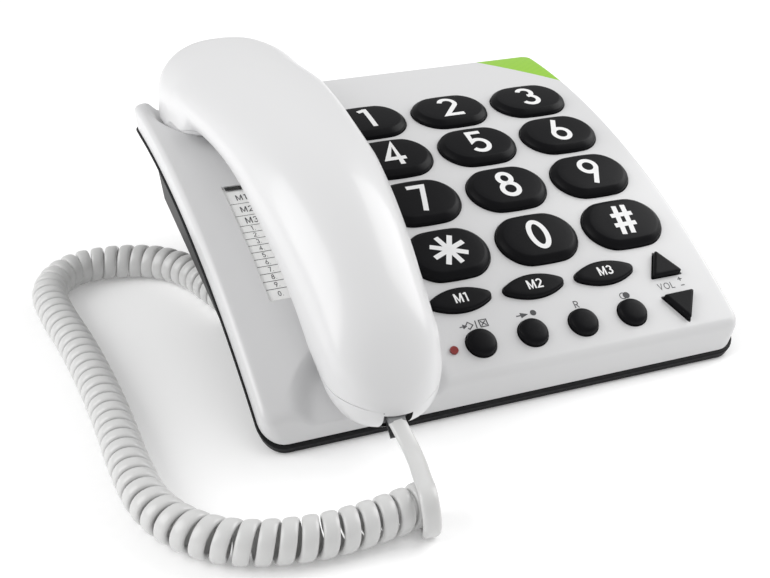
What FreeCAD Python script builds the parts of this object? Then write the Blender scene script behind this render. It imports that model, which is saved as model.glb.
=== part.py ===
import FreeCAD, Part
import math
import os
import re
import Sketcher
from FreeCAD import Placement, Rotation, Vector

# Corded desk telephone: a sloping base with a curved top, big keys, a handset across
# its left side and a curly handset cord.
# Frame: +Z up, X across the base, +Y towards the back. The origin lies on the desk,
# below the middle of the base and handset taken together.
# Each piece is drawn about the middle of the base and moved to that origin at the end.

os.makedirs("parts", exist_ok=True)
doc = FreeCAD.newDocument("corded_telephone")
sheet = doc.addObject("Spreadsheet::Sheet", "Sizes")

SIZES = {
    # base as a whole; its top is a slice of a large cylinder whose axis runs along X
    "base_width": 190.0,
    "base_depth": 179.0,
    "crown_radius": 355.3,
    "crown_y": 100.5,
    "crown_z": -284.1,
    # white upper shell
    "skirt_depth": 10.0,
    "shell_wall": 2.5,
    "plan_corner": 9.0,
    "edge_round": 6.0,
    # dark band between the shells
    "band_depth": 3.0,
    "band_width": 4.0,
    "seat_gap": 0.1,
    # lower shell: a thin front and back plate, and a tub between them
    "plate_thickness": 1.6,
    "tub_wall": 2.2,
    "tub_inset": 0.6,
    "tub_front": -62.0,
    "tub_front_height": 15.5,
    "tub_slope": 12.0,
    "tub_low_back": 54.0,
    "tub_back": 63.0,
    "tub_back_height": 51.0,
    "sound_hole": 3.0,
    # stand under the tub, with slots for hanging on a wall
    "stand_width": 100.0,
    "stand_front": -14.0,
    "stand_back": 50.0,
    "stand_wall": 2.5,
    "clip_width": 9.0,
    "clip_thickness": 2.4,
    "clip_reach": 4.0,
    "keyhole_spacing": 60.0,
    "keyhole_y": 22.0,
    "keyhole_slot_width": 4.4,
    "keyhole_slot_length": 12.0,
    "keyhole_head": 8.6,
    # rubber feet
    "foot_height": 2.0,
    "foot_radius": 6.0,
    "front_foot_x": 70.0,
    "front_foot_y": -74.0,
    "rear_foot_x": 40.0,
    "rear_foot_y": 36.0,
    # posts of the upper shell, and the bosses that they stand on
    "post_x": 88.4,
    "post_front_y": -56.0,
    "post_back_y": 26.6,
    "post_side": 5.0,
    "boss_side": 5.0,
    "boss_height": 3.0,
    # dial keys
    "column_start": -7.2,
    "column_pitch": 38.6,
    "row_start_angle": 9.75,
    "row_pitch": 29.34,
    "key_length": 34.0,
    "key_breadth": 25.0,
    "key_bulge": 2.0,
    "key_corner": 9.0,
    "key_height": 3.4,
    "key_bevel": 2.0,
    "key_gap": 0.5,
    "key_flange": 1.0,
    "flange_thickness": 1.2,
    "flange_gap": 0.4,
    "key_travel": 1.5,
    "stem_side": 5.2,
    "stem_gap": 0.3,
    # memory, function and volume keys
    "memory_start": -11.05,
    "memory_pitch": 30.9,
    "memory_arc_place": 110.1,
    "memory_length": 25.4,
    "memory_breadth": 10.4,
    "memory_height": 2.2,
    "small_bevel": 0.8,
    "function_start": -10.1,
    "function_pitch": 21.4,
    "function_arc_place": 129.7,
    "function_radius": 5.8,
    "function_height": 2.8,
    "volume_x": 76.6,
    "volume_up_place": 112.2,
    "volume_down_place": 128.2,
    "volume_half": 6.8,
    "volume_height": 2.4,
    # circuit board and rubber mat, square to one common key direction
    "board_tilt": 20.0,
    "board_depth": 14.8,
    "board_left": -19.0,
    "board_right": 84.0,
    "board_front": -70.0,
    "board_back": 74.0,
    "board_thickness": 1.0,
    "mat_thickness": 0.6,
    "mat_margin": 2.0,
    "pad_side": 9.4,
    "pad_height": 0.3,
    # speaker and lamp
    "speaker_x": 24.0,
    "speaker_y": 2.0,
    "speaker_radius": 19.0,
    "speaker_depth": 7.0,
    "lamp_x": -21.4,
    "lamp_place": 130.4,
    "lamp_radius": 1.6,
    "lamp_length": 6.2,
    # slider in the left wall of the tub
    "slider_y": -27.5,
    "slider_drop": 2.4,
    "slider_slot_length": 12.0,
    "slider_slot_height": 2.8,
    "slider_knob_length": 4.0,
    # name list below the handset
    "card_left": -80.5,
    "card_width": 47.0,
    "card_back": 10.5,
    "card_length": 60.0,
    "card_thickness": 0.3,
    "cover_thickness": 1.0,
    "pocket_gap": 0.2,
    # cradle
    "ear_recess_y": 76.0,
    "ear_recess_radius": 34.0,
    "ear_recess_depth": 5.0,
    "mouth_recess_y": -90.0,
    "mouth_recess_half_width": 29.5,
    "mouth_recess_half_length": 23.0,
    "mouth_recess_depth": 4.0,
    # hook switch in the ear recess
    "hook_y": 55.5,
    "hook_radius": 3.6,
    "hook_travel": 3.0,
    "hook_gap": 0.3,
    "hook_flange_side": 9.4,
    "hook_flange_thickness": 1.4,
    # handset
    "handset_x": -57.0,
    "handset_front": -116.0,
    "handset_back": 102.5,
    "handset_top": 98.0,
    "handset_crest_y": 58.0,
    "handset_top_radius": 704.0,
    "handset_bend_y": -20.0,
    "handset_bend_radius": 125.5,
    "handset_arch": 15.0,
    "handset_chin": 9.7,
    "ear_half_width": 31.5,
    "ear_y": 66.0,
    "grip_half_width": 27.5,
    "grip_y": -30.0,
    "mouth_half_width": 24.0,
    "mouth_y": -92.0,
    "handset_end_round": 26.0,
    "handset_end_drop": 15.0,
    "handset_wall": 2.5,
    "handset_seam": 6.0,
    "handset_seat_gap": 0.3,
    "ear_seat_front": 58.0,
    "mouth_seat_back": -78.0,
    "capsule_radius": 16.0,
    "capsule_depth": 7.0,
    "microphone_radius": 4.8,
    "microphone_depth": 5.0,
    "weight_length": 52.0,
    "weight_width": 20.0,
    "weight_thickness": 5.0,
    # modular plugs and their sockets
    "plug_width": 7.6,
    "plug_height": 6.2,
    "plug_length": 13.0,
    "plug_gap": 0.2,
    "socket_wall": 1.8,
    "socket_depth": 11.0,
    "line_plug_width": 9.7,
    "socket_x": 65.0,
    "socket_y": -30.3,
    "socket_z": 26.5,
    "well_ceiling": 31.5,
    "well_back": 8.0,
    "well_half_width": 9.5,
    "well_wall": 2.0,
    "line_shift": 45.0,
    "latch_width": 3.2,
    "latch_length": 6.0,
    "jack_inset": 4.0,
    # handset cord
    "wire_radius": 2.05,
    "curl_radius": 5.3,
    "curl_turns": 60.0,
    "wire_floor_gap": 0.05,
    "cord_exit_y": -113.0,
    "cord_exit_z": 18.0,
    "cord_exit_tilt": 30.0,
}

for row, (alias, value) in enumerate(SIZES.items(), 1):
    sheet.set(f"A{row}", alias.replace("_", " "))
    sheet.set(f"B{row}", str(value))
    sheet.setAlias(f"B{row}", alias)
doc.recompute()


def size(text):
    """The number that a formula over the sheet's sizes gives."""
    return float(sheet.evalExpression(text))


def linked(text):
    """The same formula, with each size named as a cell of the sheet."""
    return re.sub(r"[a-z][a-z_]*", lambda m: "Sizes." + m[0] if m[0] in SIZES else m[0], text)


def bind(thing, **formulas):
    """Tie properties of an object to formulas over the sheet."""
    for name, text in formulas.items():
        thing.setExpression(name, linked(text))


# The base's curved surfaces all share the crown's axis: crown_height is the height of the
# surface lying a given depth below the top, and crown_angle is its slope.

crown_y = size("crown_y")
crown_z = size("crown_z")
crown_radius = size("crown_radius")


def crown_height(y, depth=0.0):
    """Height of the surface that lies depth below the curved top."""
    return crown_z + math.sqrt((crown_radius - depth) ** 2 - (y - crown_y) ** 2)


def crown_angle(place):
    """Slope in degrees at a distance along the top, counted forward from the first key row."""
    return size("row_start_angle") + math.degrees(place / crown_radius)


def crown_place(x, angle):
    """Placement on the top surface whose Z axis is square to it."""
    turn = math.radians(angle)
    y = crown_y - crown_radius * math.sin(turn)
    z = crown_z + crown_radius * math.cos(turn)
    return Placement(Vector(x, y, z), Rotation(Vector(1, 0, 0), angle))


# The handset's back follows two circles. Its underside follows the base where the handset
# lies in its two recesses, and arches clear of it in between.

front_end = size("handset_front")
back_end = size("handset_back")
ear_front = size("ear_seat_front")
mouth_back = size("mouth_seat_back")


def handset_top(y):
    """Height of the handset's back above the desk."""
    radius = size("handset_top_radius")
    crest_y = size("handset_crest_y")
    crest_z = size("handset_top") - radius
    bend = size("handset_bend_y")
    if y > bend:
        return crest_z + math.sqrt(radius**2 - (y - crest_y) ** 2)
    lean = math.asin((bend - crest_y) / radius)
    short = size("handset_bend_radius")
    centre_y = crest_y + (radius - short) * math.sin(lean)
    centre_z = crest_z + (radius - short) * math.cos(lean)
    return centre_z + math.sqrt(short**2 - (y - centre_y) ** 2)


def handset_bottom(y):
    """Height of the handset's underside above the desk."""
    ear_depth = size("ear_recess_depth - handset_seat_gap")
    mouth_depth = size("mouth_recess_depth - handset_seat_gap")
    share = min(max((ear_front - y) / (ear_front - mouth_back), 0), 1)
    depth = ear_depth + (mouth_depth - ear_depth) * share
    lift = size("handset_arch") * math.sin(math.pi * share) ** 0.8
    if y < mouth_back:
        return max(crown_height(y, depth), size("handset_chin"))
    return crown_height(y, depth) + lift


# Sketches are pinned: each corner has two distances from the origin, each arc a radius.


def pin(sketch, geometry, point, x_text, y_text):
    """Fix a point of a sketch at two formulas."""
    for kind, text in (("DistanceX", x_text), ("DistanceY", y_text)):
        number = sketch.addConstraint(Sketcher.Constraint(kind, -1, 1, geometry, point, size(text)))
        sketch.setExpression(f"Constraints[{number}]", linked(text))


def new_sketch(body, plane, name):
    """An empty sketch on one of the body's own origin planes."""
    sketch = body.newObject("Sketcher::SketchObject", name)
    sketch.AttachmentSupport = [(p, "") for p in body.Origin.OriginFeatures if p.Role == plane]
    sketch.MapMode = "FlatFace"
    return sketch


def outline(sketch, corners):
    """A closed outline: each corner is (x, y) or (x, y, radius), with formulas as text.

    A radius makes the side that leaves the corner an arc bulging outwards; a minus sign
    before it makes the arc bulge inwards.
    """
    spots = [Vector(size(c[0]), size(c[1]), 0) for c in corners]
    middle = sum(spots, Vector()) * (1.0 / len(spots))
    sides = []
    for number, corner in enumerate(corners):
        start, end = spots[number], spots[(number + 1) % len(spots)]
        if len(corner) == 2:
            sides.append(sketch.addGeometry(Part.LineSegment(start, end)))
            continue
        radius = abs(size(corner[2]))
        half = (end - start) * 0.5
        away = Vector(half.y, -half.x, 0).normalize()
        if away.dot(start + half - middle) < 0:
            away = away * -1
        if size(corner[2]) < 0:
            away = away * -1
        sag = radius - math.sqrt(radius**2 - half.Length**2)
        arc = Part.Arc(start, start + half + away * sag, end)
        sides.append(sketch.addGeometry(Part.ArcOfCircle(arc.toShape().Curve, *arc_range(arc))))
    for number, side in enumerate(sides):
        start, end = spots[number], spots[(number + 1) % len(spots)]
        first = end_near(sketch, side, start)
        pin(sketch, side, first, corners[number][0], corners[number][1])
    for number, side in enumerate(sides):
        after = (number + 1) % len(sides)
        corner = spots[after]
        other = 3 - end_near(sketch, side, spots[number])
        sketch.addConstraint(
            Sketcher.Constraint(
                "Coincident", side, other, sides[after], end_near(sketch, sides[after], corner)
            )
        )
        if len(corners[number]) == 3:
            radius_text = corners[number][2].lstrip("-")
            place = sketch.addConstraint(Sketcher.Constraint("Radius", side, size(radius_text)))
            sketch.setExpression(f"Constraints[{place}]", linked(radius_text))


def arc_range(arc):
    """First and last parameter of an arc."""
    edge = arc.toShape()
    return edge.FirstParameter, edge.LastParameter


def end_near(sketch, side, spot):
    """Which end of a side, 1 or 2, lies at a spot."""
    first = sketch.getPoint(side, 1)
    return 1 if (Vector(first.x, first.y, 0) - spot).Length < 1e-4 else 2


def pad(body, sketch, name, length_text, symmetric=False):
    """Extrude a sketch, to one side or to both sides alike."""
    feature = body.newObject("PartDesign::Pad", name)
    feature.Profile = sketch
    feature.SideType = "Symmetric" if symmetric else "One side"
    bind(feature, Length=length_text)
    doc.recompute()
    return feature


def edges_where(feature, test):
    """Names of the edges whose two ends and middle all pass a test."""
    names = []
    for number, edge in enumerate(feature.Shape.Edges, 1):
        spots = [v.Point for v in edge.Vertexes]
        spots.append(edge.valueAt((edge.FirstParameter + edge.LastParameter) / 2))
        if all(test(p) for p in spots):
            names.append(f"Edge{number}")
    return names


def dress(body, kind, feature, test, name, size_text):
    """Fillet or chamfer the edges of a feature that pass a test."""
    names = edges_where(feature, test)
    if not names:
        raise ValueError(f"{body.Name}: no edge for {name}")
    result = body.newObject(f"PartDesign::{kind}", name)
    result.Base = (feature, names)
    bind(result, **{"Radius" if kind == "Fillet" else "Size": size_text})
    doc.recompute()
    return result


PIECES = {}


def piece(label, thing):
    """Keep an object as one sub-part under its own label."""
    thing.Label = label
    PIECES[label] = thing
    return thing


def new_body(name):
    return doc.addObject("PartDesign::Body", name)


def join(name, things):
    """The union of several objects."""
    result = doc.addObject("Part::MultiFuse", name)
    result.Shapes = things
    result.Refine = False
    return result


def cut(name, base, tools):
    """The base object with one or more tools taken away."""
    result = doc.addObject("Part::Cut", name)
    result.Base = base
    result.Tool = tools[0] if len(tools) == 1 else join(f"{name}_tools", tools)
    result.Refine = False
    return result


def common(name, first, second):
    """What two solids share."""
    result = doc.addObject("Part::Common", name)
    result.Base = first
    result.Tool = second
    result.Refine = False
    return result


def block(name, length, width, height, x, y, z, turn=0.0):
    """A box centred on x, with its front at y and its bottom at z, all formulas."""
    result = doc.addObject("Part::Box", name)
    bind(result, Length=length, Width=width, Height=height)
    corner = Vector(size(x) - size(length) / 2, size(y), size(z))
    result.Placement = Placement(corner, Rotation(Vector(1, 0, 0), turn))
    return result


def rod(name, radius, height, x, y, z, turn=0.0):
    """A cylinder that stands on x, y, z, all formulas."""
    result = doc.addObject("Part::Cylinder", name)
    bind(result, Radius=radius, Height=height)
    result.Placement = Placement(Vector(size(x), size(y), size(z)), Rotation(Vector(1, 0, 0), turn))
    return result


def prism(name, sides, radius, height, x, y, z):
    """A column with flat sides, its corners on a circle."""
    result = doc.addObject("Part::Prism", name)
    result.Polygon = sides
    bind(result, Circumradius=radius, Height=height)
    turn = Rotation(Vector(0, 0, 1), 180 / sides)
    result.Placement = Placement(Vector(size(x), size(y), size(z)), turn)
    return result


def solid(name, shape):
    """A piece whose form comes from formulas in this file."""
    result = doc.addObject("Part::Feature", name)
    result.Shape = shape
    return result


# Base shells.


def crown_slab(name, top_depth, bottom_depth, front, back, width):
    """A slab between two depths below the curved top, from front to back."""
    body = new_body(name)
    sketch = new_sketch(body, "YZ_Plane", f"{name}_profile")
    top = f"(crown_radius - ({top_depth}))"
    bottom = f"(crown_radius - ({bottom_depth}))"
    height = "crown_z + sqrt({0}^2 - (({1}) - crown_y)^2)"
    outline(
        sketch,
        [
            (front, height.format(top, front), top),
            (back, height.format(top, back)),
            (back, height.format(bottom, back), f"-{bottom}"),
            (front, height.format(bottom, front)),
        ],
    )
    pad(body, sketch, f"{name}_pad", width, symmetric=True)
    return body


def round_plan(body, feature_name, half_width, front, back, radius_text):
    """Round the four upright corners of a slab."""
    feature = doc.getObject(feature_name)
    test = lambda p: abs(abs(p.x) - half_width) < 0.01 and min(abs(p.y - front), abs(p.y - back)) < 0.01
    return dress(body, "Fillet", feature, test, f"{body.Name}_corners", radius_text)


half_width = size("base_width / 2")
half_depth = size("base_depth / 2")


def shell_blank(name, inset, top_depth):
    """The upper shell's outer form, or a smaller one at an even distance inside it."""
    body = crown_slab(
        name,
        top_depth,
        "skirt_depth",
        f"-base_depth / 2 + ({inset})",
        f"base_depth / 2 - ({inset})",
        f"base_width - 2 * ({inset})",
    )
    gap = size(inset)
    corners = round_plan(
        body, f"{name}_pad", half_width - gap, -half_depth + gap, half_depth - gap, f"plan_corner - ({inset})"
    )
    deep = size(top_depth)
    test = lambda p: abs(math.hypot(p.y - crown_y, p.z - crown_z) - crown_radius + deep) < 0.01
    dress(body, "Fillet", corners, test, f"{name}_rim", f"edge_round - ({inset})")
    return body


shell_outer = shell_blank("shell_outer", "0", "0")
# The hollow's roof is a row of flat strips that never come closer than the wall.
shell_inner = new_body("shell_inner")
inner_sketch = new_sketch(shell_inner, "YZ_Plane", "shell_inner_profile")
roof = []
for step in range(13):
    y = f"(base_depth / 2 - shell_wall) * {1 - step / 6}"
    roof.append((y, f"crown_z + sqrt((crown_radius - shell_wall)^2 - ({y} - crown_y)^2)"))
back_y, front_y = roof[0][0], roof[-1][0]
low = "crown_z + sqrt((crown_radius - skirt_depth - 1)^2 - ({0} - crown_y)^2) - 3"
outline(inner_sketch, roof + [(front_y, low.format(front_y)), (back_y, low.format(back_y))])
pad(shell_inner, inner_sketch, "shell_inner_pad", "base_width - 2 * shell_wall", symmetric=True)
round_plan(
    shell_inner,
    "shell_inner_pad",
    half_width - size("shell_wall"),
    -half_depth + size("shell_wall"),
    half_depth - size("shell_wall"),
    "plan_corner - shell_wall",
)
shell_hollow = cut("shell_hollow", shell_outer, [shell_inner])


def recess_form(name, y_text, half_x_text, half_y_text, extra_text, top_text, bottom_text):
    """An upright oval plug between two depths below the curved top."""
    oval = doc.addObject("Part::Ellipse", f"{name}_oval")
    wide = size(f"{half_x_text} + {extra_text}")
    long = size(f"{half_y_text} + {extra_text}")
    if wide >= long:
        bind(oval, MajorRadius=f"{half_x_text} + {extra_text}", MinorRadius=f"{half_y_text} + {extra_text}")
    else:
        bind(oval, MajorRadius=f"{half_y_text} + {extra_text}", MinorRadius=f"{half_x_text} + {extra_text}")
    turn = Rotation() if wide >= long else Rotation(Vector(0, 0, 1), 90)
    oval.Placement = Placement(Vector(size("handset_x"), size(y_text), 0), turn)
    column = doc.addObject("Part::Extrusion", f"{name}_column")
    column.Base = oval
    column.Dir = Vector(0, 0, 1)
    column.Solid = True
    column.LengthFwd = 130
    slab = crown_slab(
        f"{name}_slab", top_text, bottom_text, "-base_depth / 2 - 20", "base_depth / 2 + 20", "base_width + 40"
    )
    return common(name, column, slab)


ear_floor = recess_form(
    "ear_floor", "ear_recess_y", "ear_recess_radius", "ear_recess_radius", "shell_wall",
    "shell_wall / 2", "ear_recess_depth + shell_wall",
)
ear_recess = recess_form(
    "ear_recess", "ear_recess_y", "ear_recess_radius", "ear_recess_radius", "0", "-30", "ear_recess_depth"
)
mouth_floor = recess_form(
    "mouth_floor", "mouth_recess_y", "mouth_recess_half_width", "mouth_recess_half_length", "shell_wall",
    "shell_wall / 2", "mouth_recess_depth + shell_wall",
)
mouth_recess = recess_form(
    "mouth_recess", "mouth_recess_y", "mouth_recess_half_width", "mouth_recess_half_length", "0",
    "-30", "mouth_recess_depth",
)
recess_floors = common("recess_floors", join("recess_floor_pair", [ear_floor, mouth_floor]), shell_outer)


def tub_floor_height(y):
    """Height of the tub's underside."""
    return size("tub_front_height") + (y - size("tub_front")) * math.tan(math.radians(size("tub_slope")))


tub_rise = 1 / math.cos(math.radians(size("tub_slope")))
post_spots = [
    (side * size("post_x"), size(y_name)) for side in (-1, 1) for y_name in ("post_front_y", "post_back_y")
]


def post_bottom(y):
    """Where a screw post meets the boss on the tub's floor."""
    return tub_floor_height(y) + size("tub_wall") * tub_rise + size("boss_height") + size("seat_gap")


posts = []
for number, (x, y) in enumerate(post_spots, 1):
    low = post_bottom(y)
    high = crown_height(y, size("shell_wall") / 2)
    posts.append(
        block(f"post_{number}", "post_side", "post_side", f"{high - low}", f"{x}", f"{y} - post_side / 2", f"{low}")
    )

# Keys. Each key stands square to the top surface at its own place, and its stem and its
# travel are square to the circuit board.

key_spots = []
DIAL = [["1", "2", "3"], ["4", "5", "6"], ["7", "8", "9"], ["star", "0", "hash"]]
for row, names in enumerate(DIAL):
    for column, name in enumerate(names):
        x = size("column_start") + column * size("column_pitch")
        key_spots.append((f"key_{name}", "dial", x, crown_angle(row * size("row_pitch"))))
for number in range(3):
    x = size("memory_start") + number * size("memory_pitch")
    key_spots.append((f"key_memory_{number + 1}", "memory", x, crown_angle(size("memory_arc_place"))))
for number, name in enumerate(("store", "redial", "recall", "mute")):
    x = size("function_start") + number * size("function_pitch")
    key_spots.append((f"key_{name}", "function", x, crown_angle(size("function_arc_place"))))
key_spots.append(("key_volume_up", "volume_up", size("volume_x"), crown_angle(size("volume_up_place"))))
key_spots.append(("key_volume_down", "volume_down", size("volume_x"), crown_angle(size("volume_down_place"))))

KEY_FORMS = {
    "dial": ("key_height", "key_bevel"),
    "memory": ("memory_height", "small_bevel"),
    "function": ("function_height", "small_bevel * 1.5"),
    "volume_up": ("volume_height", "small_bevel"),
    "volume_down": ("volume_height", "small_bevel"),
}


def key_corners(kind, grow):
    """The corners of one kind of key in plan, anticlockwise, grown evenly by a formula."""
    if kind == "dial":
        # round corners in three steps, and long sides that bulge to a middle corner
        radius = f"(key_corner + {grow})"
        corners = []
        for quarter, (right, back) in enumerate(((1, 1), (-1, 1), (-1, -1), (1, -1))):
            if quarter in (1, 3):
                corners.append(("0", f"{back} * (key_breadth / 2 + {grow})"))
            for step in range(4):
                turn = 90 * quarter + 30 * step
                corners.append(
                    (
                        f"{right} * (key_length / 2 - key_corner) + {radius} * cos({turn})",
                        f"{back} * (key_breadth / 2 - key_bulge - key_corner) + {radius} * sin({turn})",
                    )
                )
        return corners
    if kind == "memory":
        # a lens with blunt tips
        shares = ((1, 0.1), (0.8, 0.42), (0.45, 0.83), (0, 1), (-0.45, 0.83), (-0.8, 0.42), (-1, 0.1))
        shares += tuple((-across, -along) for across, along in shares)
        return [
            (f"{across} * (memory_length / 2 + {grow})", f"{along} * (memory_breadth / 2 + {grow})")
            for across, along in shares
        ]
    if kind == "function":
        turns = [22.5 * step + 11.25 for step in range(16)]
        return [
            (f"(function_radius + {grow}) * cos({turn})", f"(function_radius + {grow}) * sin({turn})")
            for turn in turns
        ]
    sign = 1 if kind == "volume_up" else -1
    half = f"(volume_half + 1.5 * ({grow}))"
    shares = ((0.86, -0.75), (1, -0.6), (0.95, -0.38), (0.18, 0.86), (-0.18, 0.86))
    shares += ((-0.95, -0.38), (-1, -0.6), (-0.86, -0.75))
    return [(f"{across} * {half}", f"{sign * along} * {half}") for across, along in shares]


def key_solid(name, kind, grow, bottom, top, bevel=None):
    """A key-shaped block between two heights over the surface, in the key's own frame."""
    body = new_body(name)
    sketch = new_sketch(body, "XY_Plane", f"{name}_outline")
    sketch.AttachmentOffset = Placement(Vector(0, 0, size(bottom)), Rotation())
    sketch.setExpression("AttachmentOffset.Base.z", linked(bottom))
    outline(sketch, key_corners(kind, grow))
    feature = pad(body, sketch, f"{name}_pad", f"({top}) - ({bottom})")
    if bevel:
        high = size(top)
        dress(body, "Chamfer", feature, lambda p: abs(p.z - high) < 1e-3, f"{name}_bevel", bevel)
    return body


board_turn = size("board_tilt")
board_origin = crown_place(0.0, board_turn)


def board_place(x, along, height):
    """Placement in the board's own frame: along its slope and over its top face."""
    return board_origin.multiply(Placement(Vector(x, along, height - size("board_depth")), Rotation()))


def along_board(spot):
    """Where a point in space falls in the board's own frame."""
    return board_origin.inverse().multVec(spot)


key_holes = []
stem_spots = []
for name, kind, x, angle in key_spots:
    height, bevel = KEY_FORMS[kind]
    place = crown_place(x, angle)
    flange_top = "-(shell_wall + flange_gap)"
    flange_low = "-(shell_wall + flange_gap + flange_thickness)"
    cap = key_solid(f"{name}_cap", kind, "0", flange_top, height, bevel)
    flange = key_solid(f"{name}_flange", kind, "key_flange", flange_low, flange_top)
    hole = key_solid(f"{name}_hole", kind, "key_gap", "-shell_wall - 1", "5")
    for body in (cap, flange, hole):
        body.Placement = place
    key_holes.append(hole)
    # the stem starts inside the flange and ends clear of its rubber pad by the travel and a gap
    start = along_board(place.multVec(Vector(0, 0, size(flange_low) + size("flange_thickness") / 2)))
    end = size("mat_thickness + pad_height + key_travel + stem_gap")
    stem = doc.addObject("Part::Box", f"{name}_stem")
    bind(stem, Length="stem_side", Width="stem_side")
    stem.Height = start.z + size("board_depth") - end
    edge = size("stem_side / 2")
    stem.Placement = board_place(start.x - edge, start.y - edge, end)
    stem_spots.append((start.x, start.y))
    piece(name, join(f"{name}_whole", [cap, flange, stem]))

# Lamp.
lamp_place = crown_place(size("lamp_x"), crown_angle(size("lamp_place")))
lamp_body = doc.addObject("Part::Cylinder", "lamp_barrel")
bind(lamp_body, Radius="lamp_radius", Height="lamp_length")
lamp_body.Placement = lamp_place.multiply(Placement(Vector(0, 0, 0.8 - size("lamp_length")), Rotation()))
lamp_collar = doc.addObject("Part::Box", "lamp_collar")
bind(lamp_collar, Length="2 * lamp_radius + 1.6", Width="2 * lamp_radius + 1.6", Height="1")
lamp_edge = size("lamp_radius") + 0.8
lamp_collar.Placement = lamp_place.multiply(
    Placement(Vector(-lamp_edge, -lamp_edge, -size("shell_wall + 2 * seat_gap + 1")), Rotation())
)
piece("status_lamp", join("lamp_whole", [lamp_body, lamp_collar]))
lamp_hole = doc.addObject("Part::Cylinder", "lamp_hole")
bind(lamp_hole, Radius="lamp_radius + seat_gap", Height="8")
lamp_hole.Placement = lamp_place.multiply(Placement(Vector(0, 0, -5), Rotation()))

# Name list: a paper card in a shallow pocket under a clear cover, both bent to the top.


def card_form(name, top_text, bottom_text, gap_text):
    """A curved sheet in the card's place."""
    middle_x = size("card_left + card_width / 2")
    body = crown_slab(
        name,
        top_text,
        bottom_text,
        f"card_back - card_length - ({gap_text})",
        f"card_back + ({gap_text})",
        f"card_width + 2 * ({gap_text})",
    )
    body.Placement = Placement(Vector(middle_x, 0, 0), Rotation())
    return body


card_pocket = card_form("card_pocket", "-3", "cover_thickness + card_thickness", "pocket_gap")
card = card_form("card_sheet", "cover_thickness", "cover_thickness + card_thickness", "0")
card_cover = card_form("card_window", "0", "cover_thickness", "0")
piece("name_card", card)
piece("card_cover", card_cover)

# Hook switch plunger, upright in the floor of the ear recess.
hook_y = size("hook_y")
hook_reach = size("hook_radius")
hook_top = min(handset_bottom(hook_y - hook_reach), handset_bottom(hook_y + hook_reach)) - size("hook_gap")
floor_under = crown_height(hook_y, size("ear_recess_depth + shell_wall"))
flange_rise = size("hook_travel") + size("hook_gap") + 1.5
hook_flange_top = floor_under - flange_rise
hook_hole = prism("hook_hole", 16, "hook_radius + seat_gap * 3", "40", "handset_x", "hook_y", f"{hook_flange_top}")
hook_body = prism(
    "hook_shaft", 16, "hook_radius", f"{hook_top - hook_flange_top}", "handset_x", "hook_y", f"{hook_flange_top}"
)
hook_flange = block(
    "hook_flange", "hook_flange_side", "hook_flange_side", "hook_flange_thickness", "handset_x",
    "hook_y - hook_flange_side / 2", f"{hook_flange_top} - hook_flange_thickness",
)
piece("hook_plunger", join("hook_whole", [hook_body, hook_flange]))

upper = cut(
    "upper_whole",
    join("upper_solid", [shell_hollow, recess_floors] + posts),
    [ear_recess, mouth_recess, card_pocket, lamp_hole, hook_hole] + key_holes,
)
piece("upper_housing", upper)

# Dark band between the shells.


def plan_column(name, inset_text):
    """An upright block over the base's plan, drawn in from its edge, with round corners."""
    body = new_body(name)
    sketch = new_sketch(body, "XY_Plane", f"{name}_plan")
    half_x = f"base_width / 2 - ({inset_text})"
    half_y = f"base_depth / 2 - ({inset_text})"
    outline(
        sketch,
        [
            (f"-({half_x})", f"-({half_y})"),
            (half_x, f"-({half_y})"),
            (half_x, half_y),
            (f"-({half_x})", half_y),
        ],
    )
    pad(body, sketch, f"{name}_pad", "crown_radius / 3")
    inset = size(inset_text)
    round_plan(
        body, f"{name}_pad", half_width - inset, -half_depth + inset, half_depth - inset,
        f"plan_corner - ({inset_text})",
    )
    return body


band_slab = crown_slab(
    "band_slab", "skirt_depth", "skirt_depth + band_depth", "-base_depth / 2 - 5", "base_depth / 2 + 5",
    "base_width + 10",
)
band_blank = common("band_blank", band_slab, plan_column("band_outside", "0"))
piece("rim_band", cut("band_whole", band_blank, [plan_column("band_inside", "band_width")]))

# Lower shell.
plate_top = "skirt_depth + band_depth + seat_gap"
plate_low = f"{plate_top} + plate_thickness"
tub_angle = size("tub_slope")


def tub_profile(name, inset_text, width_text, top_text, lift):
    """The tub's outer form, or its inner one: an outline in the YZ plane carried across."""
    body = new_body(name)
    sketch = new_sketch(body, "YZ_Plane", f"{name}_profile")
    radius = f"(crown_radius - ({top_text}))"
    front = f"(tub_front + {inset_text})"
    back = f"(tub_back - {inset_text})"
    low = f"(tub_low_back - {inset_text})"
    rise = f"({inset_text}) / cos(tub_slope)" if lift else "0"
    floor = "(tub_front_height + ({0} - tub_front) * tan(tub_slope) + {1})"
    outline(
        sketch,
        [
            (front, floor.format(front, rise)),
            (low, floor.format(low, rise)),
            (back, f"tub_back_height + {rise}"),
            (back, f"crown_z + sqrt({radius}^2 - ({back} - crown_y)^2)", radius),
            (front, f"crown_z + sqrt({radius}^2 - ({front} - crown_y)^2)"),
        ],
    )
    pad(body, sketch, f"{name}_pad", width_text, symmetric=True)
    return body


tub_outer = tub_profile("tub_outer", "0", "base_width - 2 * tub_inset", plate_top, False)
tub_inner = tub_profile("tub_inner", "tub_wall", "base_width - 2 * (tub_inset + tub_wall)", "skirt_depth", True)
plate_slab = crown_slab(
    "plate_slab", plate_top, plate_low, "-base_depth / 2 - 5", "base_depth / 2 + 5", "base_width + 10"
)
plates = common("plates", plate_slab, plan_column("plate_plan", "band_width - 1"))

bosses = []
for number, (x, y) in enumerate(post_spots, 1):
    low = tub_floor_height(y) + size("tub_wall") / 2
    top = post_bottom(y) - size("seat_gap")
    bosses.append(
        block(f"boss_{number}", "boss_side", "boss_side", f"{top - low}", f"{x}", f"{y} - boss_side / 2", f"{low}")
    )

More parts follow.
